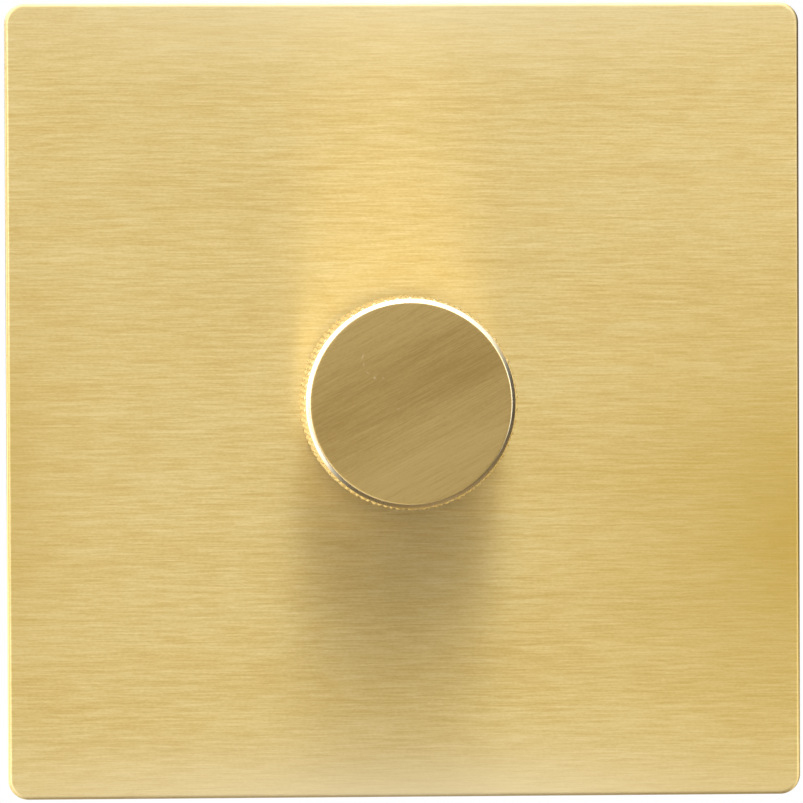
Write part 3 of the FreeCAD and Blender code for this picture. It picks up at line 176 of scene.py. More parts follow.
@dataclass(frozen=True)
class SoftMark:
    """A soft-edged mark on a face that looks along Y: its middle, its half sizes, its turn and its tone.

    Small ones are specks and hairs of dust; large ones are painted sheen, paler or yellower tone that stands
    in for the light that the lacquer reflects.
    """

    across_mm: float
    up_mm: float
    half_length_mm: float
    half_width_mm: float
    turn_deg: float
    strength: float
    colour: str = "F1E3B6"

    def over(self, tree: bpy.types.NodeTree, source: bpy.types.NodeSocket,
             paint: bpy.types.NodeSocket) -> bpy.types.NodeSocket:
        """Mixes the mark's tone over a colour: most at its middle, none at the rim of its ellipse.

        Args:
            tree: the node tree.
            source: object coordinates.
            paint: the colour below.

        Returns:
            The socket with the mixed colour.
        """
        placed = add(tree, "ShaderNodeMapping", {"vector_type": "TEXTURE"}, {
            "Vector": source,
            "Location": (self.across_mm * MM, 0.0, self.up_mm * MM),
            "Rotation": (0.0, math.radians(-self.turn_deg), 0.0),
            "Scale": (self.half_length_mm * MM, 1.0, self.half_width_mm * MM),
        })
        ball = add(tree, "ShaderNodeTexGradient", {"gradient_type": "QUADRATIC_SPHERE"},
                   {"Vector": placed.outputs["Vector"]})
        share = add(tree, "ShaderNodeMath", {"operation": "MULTIPLY", "use_clamp": True},
                    {0: ball.outputs["Fac"], 1: self.strength})
        return add(tree, "ShaderNodeMix", {"data_type": "RGBA"},
                   {"Factor": share.outputs["Value"], 6: paint, 7: linear(self.colour)}).outputs[2]


@dataclass(frozen=True)
class BrushedBrass(Finish):
    """Brass sheet drawn under an abrasive belt, then lacquered.

    The belt leaves hairlines all one way. They show as light and dark streaks, and they spread the
    light across themselves, so whatever stands on the metal is drawn out into a band at right
    angles to the hairlines. A pattern's two sizes are its length along the hairlines and its width
    across them. Real hairlines are about 0.05 mm wide: here they are drawn up to three times as
    wide, as coarse as they need to be to show.
    """

    light: str
    middle: str
    dark: str
    turn_deg: float = 0.0
    roughness: float = 0.46
    stretch: float = 1.0
    hairline_mm: tuple[float, float] = (2.6, 0.12)
    grain_mm: tuple[float, float] = (0.4, 0.14)
    streak_mm: tuple[float, float] = (15.0, 0.55)
    cloud_mm: tuple[float, float] = (48.0, 8.0)
    contrast: float = 1.0
    hairline_share: float = 0.8
    grain_share: float = 0.3
    streak_share: float = 0.3
    cloud_share: float = 0.2
    relief_mm: float = 0.0012
    lacquer_roughness: float = 0.2
    # Painted shade: a darker band along the hairlines, its offset and half width, and how much it darkens.
    shade_band_mm: tuple[float, float] = (0.0, 9.0)
    shade_band_depth: float = 0.0
    # Dust specks, and painted sheen where the marks are large.
    marks: tuple[SoftMark, ...] = ()

    def band(self, tree: bpy.types.NodeTree, size_mm: tuple[float, float],
             detail: float) -> bpy.types.NodeSocket:
        """Noise drawn out along the hairlines.

        Args:
            tree: the node tree.
            size_mm: length along the hairlines and width across them.
            detail: number of finer layers.

        Returns:
            The socket with the noise from 0 to 1.
        """
        length, width = size_mm
        vector = self.place(tree, (length, width, width), math.radians(self.turn_deg))
        noise = add(tree, "ShaderNodeTexNoise", None,
                    {"Vector": vector, "Scale": 1.0, "Detail": detail, "Roughness": 0.6})
        return noise.outputs["Fac"]

    def painted_shade_band(self, tree: bpy.types.NodeTree) -> bpy.types.NodeSocket:
        """Painted shade: a darker band along the hairlines that stands in for the darker reflection across
        the face's middle; its depth along its middle line, 0 beside it.

        Args:
            tree: the node tree.

        Returns:
            The socket with the change of tone, 0 or less.
        """
        offset, half = self.shade_band_mm
        vector = self.place(tree, (1.0, 1.0, 1.0), math.radians(self.turn_deg))
        across = add(tree, "ShaderNodeSeparateXYZ", None, {"Vector": vector}).outputs["Z"]
        away = add(tree, "ShaderNodeMath", {"operation": "SUBTRACT"}, {0: across, 1: offset})
        distance = add(tree, "ShaderNodeMath", {"operation": "ABSOLUTE"}, {0: away.outputs["Value"]})
        change = add(tree, "ShaderNodeMapRange", {"interpolation_type": "SMOOTHSTEP"},
                     {"Value": distance.outputs["Value"], "From Min": 0.0, "From Max": half,
                      "To Min": -self.shade_band_depth, "To Max": 0.0})
        return change.outputs["Result"]

    def colour(self, tree: bpy.types.NodeTree, hair: bpy.types.NodeSocket,
               streak: bpy.types.NodeSocket) -> bpy.types.NodeSocket:
        """Colour of the metal: a tone that is the weighted sum of the patterns, the painted shade band and
        the marks.

        The patterns average a half, so the sum starts at the tone that brings it to a half as well.

        Args:
            tree: the node tree.
            hair: the hairlines.
            streak: the longer streaks.

        Returns:
            The socket with the colour.
        """
        layers = ((hair, self.hairline_share * self.contrast), (streak, self.streak_share * self.contrast),
                  (self.band(tree, self.grain_mm, 1.0), self.grain_share * self.contrast),
                  (self.band(tree, self.cloud_mm, 2.0), self.cloud_share))
        level = 0.5 - sum(share for _, share in layers) / 2
        for layer, share in layers:
            level = add(tree, "ShaderNodeMath", {"operation": "MULTIPLY_ADD"},
                        {0: layer, 1: share, 2: level}).outputs["Value"]
        # Adds the painted shade band, a darker stripe across the face.
        tone = add(tree, "ShaderNodeMath", {"operation": "ADD"}, {0: level, 1: self.painted_shade_band(tree)})
        stops = ((0.30, linear(self.dark)), (0.5, linear(self.middle)), (0.70, linear(self.light)))
        colour = ramp(add(tree, "ShaderNodeValToRGB", None, {"Fac": tone.outputs["Value"]}), stops)
        paint = colour.outputs["Color"]
        source = add(tree, "ShaderNodeTexCoord").outputs["Object"]
        # The marks mix in dust specks, and painted sheen where they are large.
        for mark in self.marks:
            paint = mark.over(tree, source, paint)
        return paint

    def build(self) -> bpy.types.Material:
        """Makes the material.

        Returns:
            The finished material.
        """
        material = blank_material(self.name)
        tree = material.node_tree
        hair = self.band(tree, self.hairline_mm, 3.0)
        streak = self.band(tree, self.streak_mm, 2.0)
        rough = add(tree, "ShaderNodeMapRange", None,
                    {"Value": streak, "From Min": 0.3, "From Max": 0.7,
                     "To Min": self.roughness - 0.03, "To Max": self.roughness + 0.03})
        bump = add(tree, "ShaderNodeBump", None,
                   {"Height": hair, "Strength": 0.35, "Distance": self.relief_mm * MM})
        tangent = add(tree, "ShaderNodeTangent", {"direction_type": "RADIAL", "axis": "X"})
        self.add_shader(tree, {
            "Base Color": self.colour(tree, hair, streak), "Roughness": rough.outputs["Result"],
            "Normal": bump.outputs["Normal"], "Tangent": tangent.outputs["Tangent"], "Metallic": 1.0,
            "Anisotropic": self.stretch, "Anisotropic Rotation": (self.turn_deg / 360.0) % 1.0,
            "Coat Weight": 1.0, "Coat Roughness": self.lacquer_roughness,
        })
        return material


@dataclass(frozen=True)
class WorkedMetal(Finish):
    """Metal turned, drawn, pressed or rolled, plated or bare.

    The tool leaves fine lines and small changes of tone; plating leaves a faint mottle. A fine tool
    leaves its lines about 0.05 mm apart: here they are drawn at 0.12 mm, so that they show.
    """

    light: str
    dark: str
    roughness: float
    mottle_mm: float = 1.6
    tool_mark_mm: float = 0.12
    lay: Lay = Lay.ROUND
    relief_mm: float = 0.002

    def build(self) -> bpy.types.Material:
        """Makes the material.

        Returns:
            The finished material.
        """
        material = blank_material(self.name)
        tree = material.node_tree
        mottle = add(tree, "ShaderNodeTexNoise", None,
                     {"Vector": self.place(tree, (self.mottle_mm,) * 3), "Scale": 1.0, "Detail": 5.0,
                      "Roughness": 0.6})
        deep_mm = self.lay.value if self.lay is Lay.ROUND else self.tool_mark_mm
        size = (self.lay.value, self.tool_mark_mm, deep_mm)
        marks = add(tree, "ShaderNodeTexNoise", None,
                    {"Vector": self.place(tree, size), "Scale": 1.0, "Detail": 2.0, "Roughness": 0.5})
        stops = ((0.32, linear(self.dark)), (0.66, linear(self.light)))
        colour = ramp(add(tree, "ShaderNodeValToRGB", None, {"Fac": mottle.outputs["Fac"]}), stops)
        rough = add(tree, "ShaderNodeMapRange", None,
                    {"Value": mottle.outputs["Fac"], "From Min": 0.25, "From Max": 0.75,
                     "To Min": self.roughness + 0.08, "To Max": self.roughness - 0.06})
        bump = add(tree, "ShaderNodeBump", None,
                   {"Height": marks.outputs["Fac"], "Strength": 0.4, "Distance": self.relief_mm * MM})
        self.add_shader(tree, {"Base Color": colour.outputs["Color"], "Roughness": rough.outputs["Result"],
                               "Normal": bump.outputs["Normal"], "Metallic": 1.0})
        return material


@dataclass(frozen=True)
class Moulding(Finish):
    """Plastic, resin or ferrite moulded, pressed or dipped to shape.

    The tool's fine pits give a soft grain, and flow leaves faint clouds of gloss. The edges catch the
    light because the tool rounds them a little.
    """

    colour: str
    shade: str
    roughness: float = 0.5
    grain_mm: float = 0.35
    relief_mm: float = 0.012
    cloud_mm: float = 9.0
    edge_mm: float = 0.3

    def build(self) -> bpy.types.Material:
        """Makes the material.

        Returns:
            The finished material.
        """
        material = blank_material(self.name)
        tree = material.node_tree
        cloud = add(tree, "ShaderNodeTexNoise", None,
                    {"Vector": self.place(tree, (self.cloud_mm,) * 3), "Scale": 1.0, "Detail": 3.0})
        grain = add(tree, "ShaderNodeTexVoronoi", {"feature": "SMOOTH_F1"},
                    {"Vector": self.place(tree, (self.grain_mm,) * 3), "Scale": 1.0, "Smoothness": 0.6})
        stops = ((0.3, linear(self.shade)), (0.7, linear(self.colour)))
        colour = ramp(add(tree, "ShaderNodeValToRGB", None, {"Fac": cloud.outputs["Fac"]}), stops)
        rough = add(tree, "ShaderNodeMapRange", None,
                    {"Value": cloud.outputs["Fac"], "From Min": 0.3, "From Max": 0.7,
                     "To Min": self.roughness - 0.06, "To Max": self.roughness + 0.08})
        edge = add(tree, "ShaderNodeBevel", {"samples": 4}, {"Radius": self.edge_mm * MM})
        bump = add(tree, "ShaderNodeBump", None,
                   {"Height": grain.outputs["Distance"], "Strength": 0.5, "Distance": self.relief_mm * MM,
                    "Normal": edge.outputs["Normal"]})
        self.add_shader(tree, {"Base Color": colour.outputs["Color"], "Roughness": rough.outputs["Result"],
                               "Normal": bump.outputs["Normal"]})
        return material


@dataclass(frozen=True)
class WovenBoard(Finish):
    """Glass cloth in resin under a coloured lacquer: the cloth's weave shows faintly through it."""

    colour: str
    shade: str
    thread_mm: float = 0.5
    cloud_mm: float = 4.0
    relief_mm: float = 0.01
    roughness: float = 0.32

    def build(self) -> bpy.types.Material:
        """Makes the material.

        Returns:
            The finished material.
        """
        material = blank_material(self.name)
        tree = material.node_tree
        weave = add(tree, "ShaderNodeTexChecker", None,
                    {"Vector": self.place(tree, (self.thread_mm,) * 3), "Scale": 1.0,
                     "Color1": linear(self.colour), "Color2": linear(self.shade)})
        cloud = add(tree, "ShaderNodeTexNoise", None,
                    {"Vector": self.place(tree, (self.cloud_mm,) * 3), "Scale": 1.0, "Detail": 3.0})
        mixed = add(tree, "ShaderNodeMix", {"data_type": "RGBA", "blend_type": "MULTIPLY"},
                    {"Factor": 0.5, 6: weave.outputs["Color"], 7: cloud.outputs["Color"]})
        bump = add(tree, "ShaderNodeBump", None,
                   {"Height": weave.outputs["Fac"], "Strength": 0.2, "Distance": self.relief_mm * MM})
        self.add_shader(tree, {"Base Color": mixed.outputs[2], "Roughness": self.roughness,
                               "Normal": bump.outputs["Normal"]})
        return material


# Painted sheen on the plate: paler along the top and bottom and yellower at the sides, tones painted into the
# lacquer's colour that stand in for the light it reflects there.
PLATE_PAINTED_SHEEN = (
    SoftMark(0.0, -44.0, 90.0, 12.0, 0.0, 0.9, "FBEBBE"),
    SoftMark(0.0, 46.0, 90.0, 16.0, 0.0, 0.8, "FAEABA"),
    SoftMark(48.0, -14.0, 50.0, 46.0, 0.0, 0.95, "CAA843"),
    SoftMark(-46.0, -10.0, 17.0, 46.0, 0.0, 0.6, "CEAD50"),
)
# Sheet brushed from side to side before it was pressed: level hairlines, and the knob drawn out below it.
PLATE_BRASS = BrushedBrass("lacquered brushed brass sheet", light="F1DB9B", middle="E6CC84", dark="D9BA6C",
                           hairline_mm=(3.6, 0.16), streak_mm=(17.0, 0.6), marks=PLATE_PAINTED_SHEEN)
# A curled hair and a few specks of dust on the knob's face, paler than the metal.
KNOB_DUST = (
    SoftMark(-5.1, 5.0, 0.62, 0.16, 72.0, 0.55),
    SoftMark(-5.0, 4.15, 0.45, 0.13, 80.0, 0.45),
    SoftMark(-4.6, 3.3, 0.42, 0.11, -38.0, 0.5),
    SoftMark(-3.85, 2.75, 0.26, 0.22, 0.0, 0.75),
    SoftMark(-2.95, 2.75, 0.2, 0.18, 0.0, 0.4),
    SoftMark(-1.35, -0.55, 0.2, 0.16, 20.0, 0.45),
    SoftMark(2.8, -1.35, 0.3, 0.1, 60.0, 0.35),
)
# Turned bar with a brushed end: browner and softer, with slanted hairlines and a painted shade band, a darker
# stripe along them that stands in for the darker reflection across the face.
KNOB_BRASS = BrushedBrass("brushed brass bar", light="DABF7B", middle="CFB16B", dark="B5954F", turn_deg=28.0,
                          roughness=0.42, stretch=0.9, hairline_mm=(3.4, 0.13), streak_mm=(9.0, 0.6),
                          cloud_mm=(22.0, 4.0), shade_band_mm=(1.2, 8.5), shade_band_depth=0.14, contrast=0.38,
                          marks=KNOB_DUST)
# Rolled by a pair of knurling wheels and polished by them: near-white brass, paler than the metal is, a
# painted highlight that stands in for the glare on the points and lip.
KNURL_PAINTED_HIGHLIGHT_BRASS = WorkedMetal("rolled brass painted pale for its highlight", "FDF2D6", "EFDCB0", 0.26,
                            mottle_mm=2.5, relief_mm=0.001)
# Cut on a lathe and left bare: yellow, with fine rings that catch the light.
TURNED_BRASS = WorkedMetal("turned brass", "E0BC6B", "B98F3F", 0.28)
# Plated in a barrel: a cold grey with a small mottle, neither bright nor dull.
ZINC_STEEL = WorkedMetal("zinc-plated steel", "C9CDD2", "9DA3AB", 0.34, mottle_mm=1.2)
# Drawn through a die and oil-hardened: darker, with a satin gloss.
SPRING_STEEL = WorkedMetal("drawn spring steel", "A9A9AC", "77787C", 0.3)
# Rolled sheet, pressed to shape: pale and dull, with the mill's lines along it.
ALUMINIUM = WorkedMetal("pressed aluminium sheet", "D6D8DA", "B4B7BA", 0.38, lay=Lay.ACROSS)
# Rolled strip, punched out: pinkish, with the mill's lines along it.
BRONZE = WorkedMetal("phosphor bronze strip", "D7A272", "A87345", 0.3, lay=Lay.ACROSS)
# Drawn wire dipped in varnish: a deep red-brown with a hard gloss.
COPPER = WorkedMetal("enamelled copper wire", "C4602E", "8E3A17", 0.22)
# Pressed caps, plated: nearly white and bright.
FUSE_METAL = WorkedMetal("nickel-plated brass", "D8D6CC", "B2AFA3", 0.2)
# Moulded in a spark-eroded tool: near black and satin, as the carrier and the case are.
BLACK_MOULDING = Moulding("black moulded nylon", "2A2A2C", "1D1D1F")
# The same in grey, with a slightly smoother tool.
GREY_MOULDING = Moulding("grey moulded nylon", "8B8D8F", "7A7C7F", roughness=0.45)
# Moulded without dye, for pieces that slide: waxy and off-white.
WHITE_MOULDING = Moulding("natural moulded acetal", "E6E3DA", "D8D4C8", roughness=0.4)
# Pressed from powder and fired: charcoal grey, matt, with a coarse grain.
FERRITE = Moulding("pressed and fired ferrite", "37373A", "252527", roughness=0.7, grain_mm=0.5)
# Dipped and drained: a glossy orange-brown skin with slow waves.
FILM_CASE = Moulding("dipped epoxy", "B5442A", "96341F", roughness=0.3, grain_mm=0.8)
# Film shrunk on by heat: dark blue and glossy, with slow waves.
CAN_SLEEVE = Moulding("shrunk sleeve", "23283A", "171B29", roughness=0.28, grain_mm=1.2)
# Moulded under pressure with a filler: dull black with a very fine grain.
TRANSISTOR_EPOXY = Moulding("moulded epoxy", "26272A", "191A1C", roughness=0.6, grain_mm=0.2)
# Screen-printed and baked: a matt black band.
CARBON_INK = Moulding("printed carbon ink", "1B1B1B", "0F0F0F", roughness=0.65, grain_mm=0.15)
# Paper soaked in resin and pressed hot: brown, with a faint fibre.
WAFER = Moulding("pressed phenolic paper", "7A4A24", "643A1A", roughness=0.45, grain_mm=0.3)
# Laid up, pressed and screen-coated: green, with the cloth just to be seen.
BOARD = WovenBoard("lacquered glass-cloth board", "2F7A46", "276A3B")


@dataclass
class Shell:
    """A closed surface: its points and its faces, each face a run of corners."""

    points: np.ndarray
    corners: np.ndarray
    counts: np.ndarray

    def outward(self) -> "Shell":
        """Turns the faces outwards: the volume that they enclose comes out positive.

        Returns:
            The same shell.
        """
        starts = np.cumsum(self.counts) - self.counts
        four = self.counts == 4
        near = self.points - self.points.mean(axis=0)
        first, second, third, fourth = (near[self.corners[starts[four] + step]] for step in range(4))
        volume = (np.cross(first, second) * third).sum() + (np.cross(first, third) * fourth).sum()
        if volume < 0:
            last = np.repeat(starts + self.counts - 1, self.counts)
            within = np.arange(len(self.corners)) - np.repeat(starts, self.counts)
            self.corners = self.corners[last - within]
        return self


def grid_shell(points: np.ndarray, round_rows: bool = False, poles: bool = False) -> Shell:
    """Joins a grid of points whose columns run round: each point is one corner of up to four faces.

    Args:
        points: places in metres, with shape (rows, columns, 3).
        round_rows: joins the last row to the first.
        poles: closes the first and the last row with a flat face.

    Returns:
        The shell, with its faces outwards.
    """
    rows, columns = points.shape[:2]
    index = np.arange(rows * columns).reshape(rows, columns)
    down = np.roll(index, -1, axis=0) if round_rows else index[1:]
    here = index if round_rows else index[:-1]
    quads = np.stack((here, np.roll(here, -1, axis=1), np.roll(down, -1, axis=1), down), axis=-1)
    loops, counts = [quads.ravel()], [np.full(here.size, 4)]
    if poles:
        loops += [index[0][::-1], index[-1]]
        counts.append(np.array([columns, columns]))
    return Shell(points.reshape(-1, 3), np.concatenate(loops), np.concatenate(counts)).outward()


def shell_mesh(name: str, shells: Sequence[Shell]) -> bpy.types.Mesh:
    """Makes one smooth-shaded mesh of some shells.

    Args:
        name: name of the mesh.
        shells: the shells.

    Returns:
        The mesh.
    """
    offsets = np.cumsum([0] + [len(shell.points) for shell in shells])
    points = np.concatenate([shell.points for shell in shells])
    corners = np.concatenate([shell.corners + offset for shell, offset in zip(shells, offsets)])
    counts = np.concatenate([shell.counts for shell in shells])
    mesh = bpy.data.meshes.new(name)
    mesh.vertices.add(len(points))
    mesh.vertices.foreach_set("co", points.astype(np.float32).ravel())
    mesh.loops.add(len(corners))
    mesh.loops.foreach_set("vertex_index", corners.astype(np.int32))
    mesh.polygons.add(len(counts))
    mesh.polygons.foreach_set("loop_start", (np.cumsum(counts) - counts).astype(np.int32))
    mesh.update(calc_edges=True)
    mesh.validate()
    mesh.shade_smooth()
    return mesh


def turned_points(radii: np.ndarray, levels: np.ndarray, angles: np.ndarray) -> np.ndarray:
    """Points turned about the Y axis: x is the radius times the cosine, z the radius times the sine.

    Args:
        radii: radius of each row and column.
        levels: place along Y of each row.
        angles: angle of each column.

    Returns:
        The points, with shape (rows, columns, 3).
    """
    height = levels[:, None] * np.ones_like(angles)
    return np.stack((radii * np.cos(angles), height, radii * np.sin(angles)), axis=-1)


def even_angles(count: int) -> np.ndarray:
    """Angles spread evenly round a turn."""
    return np.arange(count) * TURN / count


def rounded(start: tuple[float, float], corner: tuple[float, float], end: tuple[float, float],
            steps: int) -> list[tuple[float, float]]:
    """Points of a rounded corner: a curve that leaves the start for the corner and turns to the end.

    Each point is the weighted mean of the three, with the weights of a quadratic curve.

    Args:
        start: where the rounding starts.
        corner: the sharp corner.
        end: where the rounding ends.
        steps: number of stretches.

    Returns:
        The points from start to end.
    """
    along = np.linspace(0.0, 1.0, steps + 1)[:, None]
    curve = ((1 - along) ** 2 * np.array(start) + 2 * along * (1 - along) * np.array(corner)
             + along ** 2 * np.array(end))
    return [tuple(point) for point in curve]


def new_piece(name: str, mesh: bpy.types.Mesh, material: bpy.types.Material, body: str,
              replaced: str) -> bpy.types.Object:
    """Puts a mesh in the scene and ties it to the frame.

    Args:
        name: name of the piece.
        mesh: its mesh, with its place in it.
        material: its finish.
        body: the body that it rides on.
        replaced: the node that it stands for.

    Returns:
        The object.
    """
    mesh.materials.append(material)
    piece = bpy.data.objects.new(name, mesh)
    bpy.context.scene.collection.objects.link(piece)
    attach(piece, body)
    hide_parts(replaced)
    LOG.info("piece %s: %d faces on %s", name, len(mesh.polygons), body)
    return piece


def dress(finishes: Mapping[Finish, Iterable[str]]) -> None:
    """Gives carried-over nodes their finishes.

    Args:
        finishes: for each finish, the nodes that have it.
    """
    for finish, names in finishes.items():
        material = finish.build()
        for name in names:
            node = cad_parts[name]
            if not node.material_slots:
                node.data.materials.append(material)
            for slot in node.material_slots:
                slot.material = material
            LOG.info("node %s: %s", name, material.name)


@dataclass
class WallPlate:
    """Pressed brass plate: a shallow pan with rounded front edges and an opening for the nut.

    The sheet is bent back all round its front, to a rim that stands on the wall. The corner, edge, bend
    and opening are radii, and the inner ring is the distance inside the plate's edge where the square
    rings start to turn into round ones.
    """

    corner: float = 2.2 * MM
    least_corner: float = 0.3 * MM
    edge: float = 0.45 * MM
    sheet: float = 1.2 * MM
    opening: float = 8.9 * MM
    rim_edge: float = 0.12 * MM
    bend: float = 0.5 * MM
    inner_ring: float = 24.0 * MM
    flat_margin: float = 0.6 * MM
    edge_hold: float = 0.05 * MM
    corner_steps: int = 14
    side_steps: int = 24
    edge_steps: int = 8
    low: np.ndarray = field(default_factory=lambda: np.array(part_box("faceplate")[0]))
    high: np.ndarray = field(default_factory=lambda: np.array(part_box("faceplate")[1]))

    def outline(self, inset: float) -> np.ndarray:
        """Rounded rectangle a distance inside the plate's edge: quarter circles joined by straight sides.

        Args:
            inset: distance from the edge, in metres.

        Returns:
            Points (x, z) in order round the plate.
        """
        half = (self.high - self.low)[[0, 2]] / 2 - inset
        radius = max(self.corner - inset, self.least_corner)
        arc = np.linspace(0.0, 1.0, self.corner_steps + 1)
        bends = []
        for quarter, signs in enumerate(((1, 1), (-1, 1), (-1, -1), (1, -1))):
            angle = (quarter + arc) * TURN / 4
            middle = np.array(signs) * (half - radius)
            bends.append(middle + radius * np.column_stack((np.cos(angle), np.sin(angle))))
        share = np.linspace(0.0, 1.0, self.side_steps + 1)[1:-1, None]
        stretches = []
        for bend, following in zip(bends, bends[1:] + bends[:1]):
            stretches += [bend, bend[-1] * (1 - share) + following[0] * share]
        return np.concatenate(stretches)

    def circle(self, radius: float, outline: np.ndarray) -> np.ndarray:
        """Circle whose points lie on the same rays as the outline's points."""
        return radius * outline / np.linalg.norm(outline, axis=1, keepdims=True)

    def section(self) -> list[tuple[float, float]]:
        """Section of the rim: from the front face round its edge to the wall, and back inside to the sheet.

        Returns:
            Pairs of a distance inside the plate's edge and a place along Y.
        """
        front, back = self.low[1], self.high[1]
        inside, tiny, hold = front + self.sheet, self.rim_edge, self.edge_hold
        angles = np.linspace(0.0, TURN / 4, self.edge_steps + 1)
        points = [(self.edge + hold, front)]
        points += [(self.edge * (1 - math.sin(a)), front + self.edge * (1 - math.cos(a))) for a in angles]
        points += [(0.0, front + self.edge + 2 * hold), (0.0, (front + back) / 2), (0.0, back - 2 * tiny)]
        points += rounded((0.0, back - tiny), (0.0, back), (tiny, back), 3)
        points += rounded((self.sheet - tiny, back), (self.sheet, back), (self.sheet, back - tiny), 3)
        points += [(self.sheet, (inside + back) / 2)]
        points += rounded((self.sheet, inside + self.bend), (self.sheet, inside),
                          (self.sheet + self.bend, inside), 4)
        return points

    def rings(self) -> list[tuple[np.ndarray, float]]:
        """Rings of the pan from the opening's front edge round the outside to its back edge.

        Between the round opening and the square ring round it, each ring is a blend of the two.

        Returns:
            Pairs of a ring of (x, z) points and its place along Y.
        """
        front, inside, tiny = self.low[1], self.low[1] + self.sheet, self.rim_edge
        square = self.outline(self.inner_ring)
        hole, hole_edge = self.circle(self.opening, square), self.circle(self.opening + tiny, square)
        rings = [(hole, inside - tiny), (hole, front + tiny), (hole_edge, front)]
        rings += [(hole_edge * (1 - share) + square * share, front) for share in np.linspace(0.15, 1.0, 6)]
        rings += [(self.outline(inset), front)
                  for inset in np.linspace(self.inner_ring, self.edge + self.flat_margin, 10)[1:]]
        rings += [(self.outline(inset), level) for inset, level in self.section()]
        rings += [(self.outline(inset), inside)
                  for inset in np.linspace(self.sheet + 2 * self.bend, self.inner_ring, 6)]
        rings += [(square * (1 - share) + hole_edge * share, inside)
                  for share in np.linspace(0.0, 1.0, 5)[1:]]
        return rings

    def build(self, material: bpy.types.Material) -> bpy.types.Object:
        """Makes the plate, a closed surface that wraps round both ways.

        Args:
            material: its finish.

        Returns:
            The object.
        """
        points = np.stack([np.column_stack((ring[:, 0], np.full(len(ring), level), ring[:, 1]))
                           for ring, level in self.rings()])
        mesh = shell_mesh("brushed_wall_plate", [grid_shell(points, round_rows=True)])
        return new_piece("brushed_wall_plate", mesh, material, "base", "faceplate")


@dataclass
class Knob:
    """Turned brass knob with a brushed face, a bevelled lip and a diamond knurl rolled down its side.

    The face, lip, tip, root and cavity are radii. The band is the plain lip's height, the top is the
    metal between the face and the hollow, and worn is the share of their height that the points keep.
    """

    face: float = 10.7 * MM
    lip: float = 11.15 * MM
    bevel: float = 0.45 * MM
    band: float = 0.45 * MM
    edge: float = 0.12 * MM
    lip_edge: float = 0.02 * MM
    tip: float = 11.42 * MM
    root: float = 11.0 * MM
    run_out: float = 0.5 * MM
    cavity: float = 9.2 * MM
    mouth_edge: float = 0.1 * MM
    back_edge: float = 0.4 * MM
    top: float = 2.4 * MM
    count: int = 54
    rows: int = 11
    per_diamond: int = 8
    worn: float = 0.86
    swell: float = 0.15
    low: np.ndarray = field(default_factory=lambda: np.array(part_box("knob")[0]))
    high: np.ndarray = field(default_factory=lambda: np.array(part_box("knob")[1]))

    @property
    def knurl_start(self) -> float:
        """Place along Y where the lip ends and the knurl starts."""
        return self.low[1] + self.bevel + self.band

    def knurl(self, levels: np.ndarray, angles: np.ndarray) -> np.ndarray:
        """Radius of the diamond knurl.

        Two families of grooves cross. Across each, the height is a triangle wave, 1 on a ridge and 0 in
        a groove, and the metal left is the lower of the two. The points are worn flat at a share of
        their height, their flanks swell a little, and both ends run out in a bevel.

        Args:
            levels: places along Y, in metres.
            angles: angles round the knob.

        Returns:
            Radii for each level and angle, in metres.
        """
        start, end = self.knurl_start, self.high[1]
        length = end - start - 2 * self.run_out
        row = (levels[:, None] - start - self.run_out) * (self.rows - 1) / length + 1
        step = angles[None, :] * self.count * 2 / TURN
        right, left = (step + row) / 2, (step - row) / 2
        ridge = np.minimum(1 - 2 * np.abs(right - np.round(right)), 1 - 2 * np.abs(left - np.round(left)))
        height = np.minimum(ridge, self.worn) / self.worn
        height = height * (1 + self.swell - self.swell * height)
        ends = np.minimum(levels - start, end - levels) / self.run_out
        return self.root + (self.tip - self.root) * np.minimum(height, np.clip(ends, 0.0, 1.0)[:, None])

    def profile(self) -> tuple[np.ndarray, np.ndarray]:
        """Radius and place along Y of each row, from the rim of the face to the middle of the hollow.

        Returns:
            The rows' radii and levels; rows inside the knurl hold its root radius.
        """
        front, back, start = self.low[1], self.high[1], self.knurl_start
        shoulder, hollow = front + self.bevel, front + self.top
        # Of a rounding's length, this much runs down the 45 degree bevel.
        slant = 0.7 * self.edge
        points = [(self.face * share, front) for share in (0.04, 0.3, 0.6, 0.85, 0.97)]
        points += rounded((self.face - self.edge, front), (self.face, front),
                          (self.face + slant, front + slant), 4)
        points += rounded((self.lip - slant, shoulder - slant), (self.lip, shoulder),
                          (self.lip, shoulder + self.edge), 4)
        points += [(self.lip, start - self.edge / 2), (self.lip - self.lip_edge, start)]
        levels_in_knurl = np.linspace(start, back, (self.rows + 1) * self.per_diamond // 2 + 1)
        points += [(self.root, level) for level in levels_in_knurl]
        points += [(self.root - self.back_edge, back), (self.cavity + self.mouth_edge, back),
                   (self.cavity, back - self.mouth_edge), (self.cavity, (back + hollow) / 2)]
        points += [(self.cavity * share, hollow) for share in (1.0, 0.5, 0.1)]
        radii, levels = np.array(points).T
        return radii, levels

    def build(self, face_finish: bpy.types.Material, side_finish: bpy.types.Material) -> bpy.types.Object:
        """Makes the knob and gives its face and its side their finishes.

        Args:
            face_finish: finish of the flat face.
            side_finish: finish of the lip, the knurl and the inside.

        Returns:
            The object.
        """
        radii, levels = self.profile()
        angles = even_angles(self.count * self.per_diamond)
        rolled = (levels >= self.knurl_start - 1e-9) & (radii == self.root)
        grid = radii[:, None] * np.ones_like(angles)
        grid[rolled] = self.knurl(levels[rolled], angles)
        mesh = shell_mesh("knurled_brass_knob", [grid_shell(turned_points(grid, levels, angles), poles=True)])
        piece = new_piece("knurled_brass_knob", mesh, side_finish, "turning_knob", "knob")
        mesh.materials.append(face_finish)
        centres = np.empty(len(mesh.polygons) * 3)
        mesh.polygons.foreach_get("center", centres)
        across, along, up = centres.reshape(-1, 3).T
        on_face = (along < self.low[1] + self.edge / 2) & (np.hypot(across, up) < self.face)
        mesh.polygons.foreach_set("material_index", on_face.astype(np.int32))
        return piece


